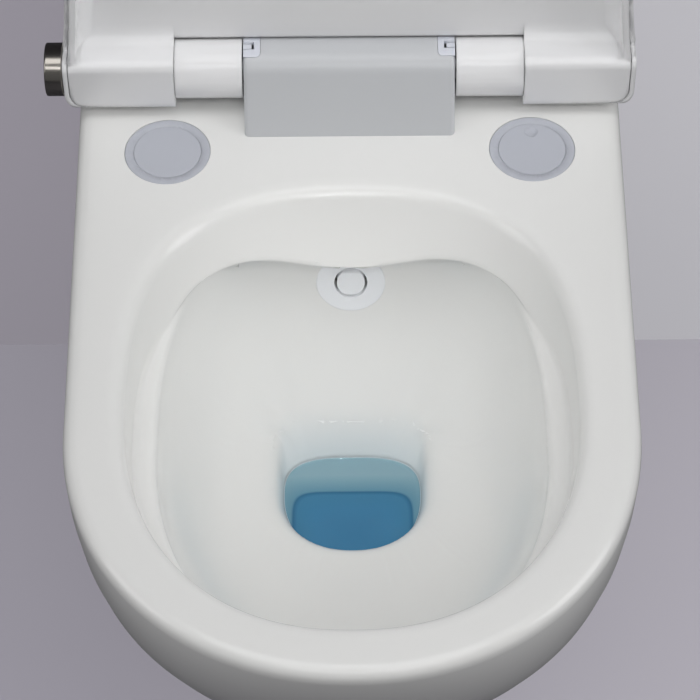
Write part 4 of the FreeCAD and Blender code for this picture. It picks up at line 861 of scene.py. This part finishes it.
def studio_paint(name, left, right):
    """Pale matt paint with painted light falloff: darker on the left and lighter to the
    right, as if lit from the right. It keeps the soft shadow of the pan. The camera sees it
    lifted by a glow in the same tones. All other rays, reflections too, meet a darker matt
    paint, so that little light comes back onto the pan. It is clear from behind, so that
    the wall side and the underside can be seen."""
    material, tree, output, place = new_material(name)
    split = add_node(tree, "ShaderNodeSeparateXYZ", None, {"Vector": place})
    across = add_node(tree, "ShaderNodeMapRange", {"interpolation_type": "SMOOTHSTEP"},
                      {"Value": split.outputs["X"]},
                      {"From Min": -0.2, "From Max": 0.22, "To Min": 0.0, "To Max": 1.0})
    # Painted light falloff: the colour runs from the darker left tone to the lighter right
    # one across X.
    mix = add_node(tree, "ShaderNodeMix", {"data_type": "RGBA"},
                   {"Factor": across.outputs["Result"]},
                   {"A": hex_colour(left), "B": hex_colour(right)})
    lift = add_node(tree, "ShaderNodeEmission", None, {"Color": mix.outputs["Result"]},
                    {"Strength": 0.6})
    paint = add_node(tree, "ShaderNodeBsdfDiffuse", None, {"Color": mix.outputs["Result"]})
    shown = add_node(tree, "ShaderNodeAddShader", None,
                     {0: lift.outputs["Emission"], 1: paint.outputs["BSDF"]})
    matt = add_node(tree, "ShaderNodeBsdfDiffuse", None, None,
                    {"Color": hex_colour("#6f6e73")})
    seen = add_node(tree, "ShaderNodeLightPath")
    either = add_node(tree, "ShaderNodeMixShader", None,
                      {"Fac": seen.outputs["Is Camera Ray"], 1: matt.outputs["BSDF"],
                       2: shown.outputs["Shader"]})
    clear = add_node(tree, "ShaderNodeBsdfTransparent")
    side = add_node(tree, "ShaderNodeNewGeometry")
    whole = add_node(tree, "ShaderNodeMixShader", None,
                     {"Fac": side.outputs["Backfacing"], 1: either.outputs["Shader"],
                      2: clear.outputs["BSDF"]})
    tree.links.new(whole.outputs["Shader"], output.inputs["Surface"])
    return material


def backdrop():
    """Plain wall behind the pan and floor below it."""
    wide = 3.0
    wall_y = 0.004
    floor_z = -0.3714
    # Left and right tones of each sheet; the step between them is painted light falloff
    # from the right.
    sides = {"wall": (("#9b97a0", "#bdbcc1"),
                      [(-wide, wall_y, floor_z), (wide, wall_y, floor_z),
                       (wide, wall_y, wide), (-wide, wall_y, wide)]),
             "floor": (("#94919a", "#a3a0a8"),
                       [(-wide, -wide * 2, floor_z), (wide, -wide * 2, floor_z),
                        (wide, wall_y, floor_z), (-wide, wall_y, floor_z)])}
    for name, (tones, points) in sides.items():
        mesh = bpy.data.meshes.new(name)
        mesh.from_pydata(points, [], [(0, 1, 2, 3)])
        mesh.materials.append(studio_paint("pale studio paint " + name, *tones))
        sheet = bpy.data.objects.new("studio_" + name, mesh)
        bpy.context.scene.collection.objects.link(sheet)


backdrop()


def place_lamp(name, data, place, aim):
    """Lamp at a place that points at another."""
    lamp = bpy.data.objects.new(name, data)
    bpy.context.scene.collection.objects.link(lamp)
    lamp.location = place
    lamp.rotation_euler = (Vector(aim) - Vector(place)).to_track_quat("-Z", "Y").to_euler()


def soft_light(name, place, size, power):
    """Large soft studio lamp that points at the middle of the rim."""
    data = bpy.data.lights.new(name, "AREA")
    data.shape = "RECTANGLE"
    data.size, data.size_y = size
    data.energy = power
    place_lamp(name, data, place, (0.0, -0.3, 0.05))


soft_light("key_strip", (0.15, -1.5, 1.95), (1.6, 0.45), 7.5)
soft_light("top_softbox", (0.0, -0.3, 2.2), (1.6, 1.2), 13.0)
soft_light("right_softbox", (1.7, -0.7, 1.2), (1.0, 1.4), 13.0)
soft_light("left_softbox", (-1.7, -0.7, 1.2), (1.0, 1.4), 8.0)


def bowl_spot():
    """Narrow soft spot from beside the camera that lights the back of the bowl."""
    data = bpy.data.lights.new("bowl_spot", "SPOT")
    data.energy = 20.0
    data.spot_size = math.radians(9.5)
    data.spot_blend = 1.0
    data.shadow_soft_size = 0.06
    place_lamp("bowl_spot", data, (0.05, -1.45, 1.25), (0.0, -0.255, -0.045))


bowl_spot()


def studio_sky(low, high):
    """Pale surroundings, darker towards the floor."""
    world = bpy.data.worlds.new("studio")
    bpy.context.scene.world = world
    world.use_nodes = True
    tree = world.node_tree
    place = add_node(tree, "ShaderNodeTexCoord")
    split = add_node(tree, "ShaderNodeSeparateXYZ", None,
                     {"Vector": place.outputs["Generated"]})
    rise = add_node(tree, "ShaderNodeMapRange", {"interpolation_type": "SMOOTHSTEP"},
                    {"Value": split.outputs["Z"]},
                    {"From Min": -0.1, "From Max": 0.8, "To Min": low, "To Max": high})
    shown = tree.nodes["Background"]
    shown.inputs["Color"].default_value = hex_colour("#f1f1f3")
    tree.links.new(rise.outputs["Result"], shown.inputs["Strength"])


studio_sky(0.2, 0.25)

# Camera worked out from the caps' ellipses and the arc of the rim in the photograph.
camera_data = bpy.data.cameras.new("camera")
camera_data.sensor_width = 36.0
camera_data.lens = 133.7
camera = bpy.data.objects.new("camera", camera_data)
bpy.context.scene.collection.objects.link(camera)
camera.location = (-0.0009, -1.3148, 1.3425)
camera.rotation_euler = (Matrix.Rotation(math.radians(37.4), 3, "X")
                         @ Matrix.Rotation(math.radians(-0.45), 3, "Z")).to_euler()
bpy.context.scene.camera = camera
bpy.context.scene.view_settings.view_transform = "Standard"
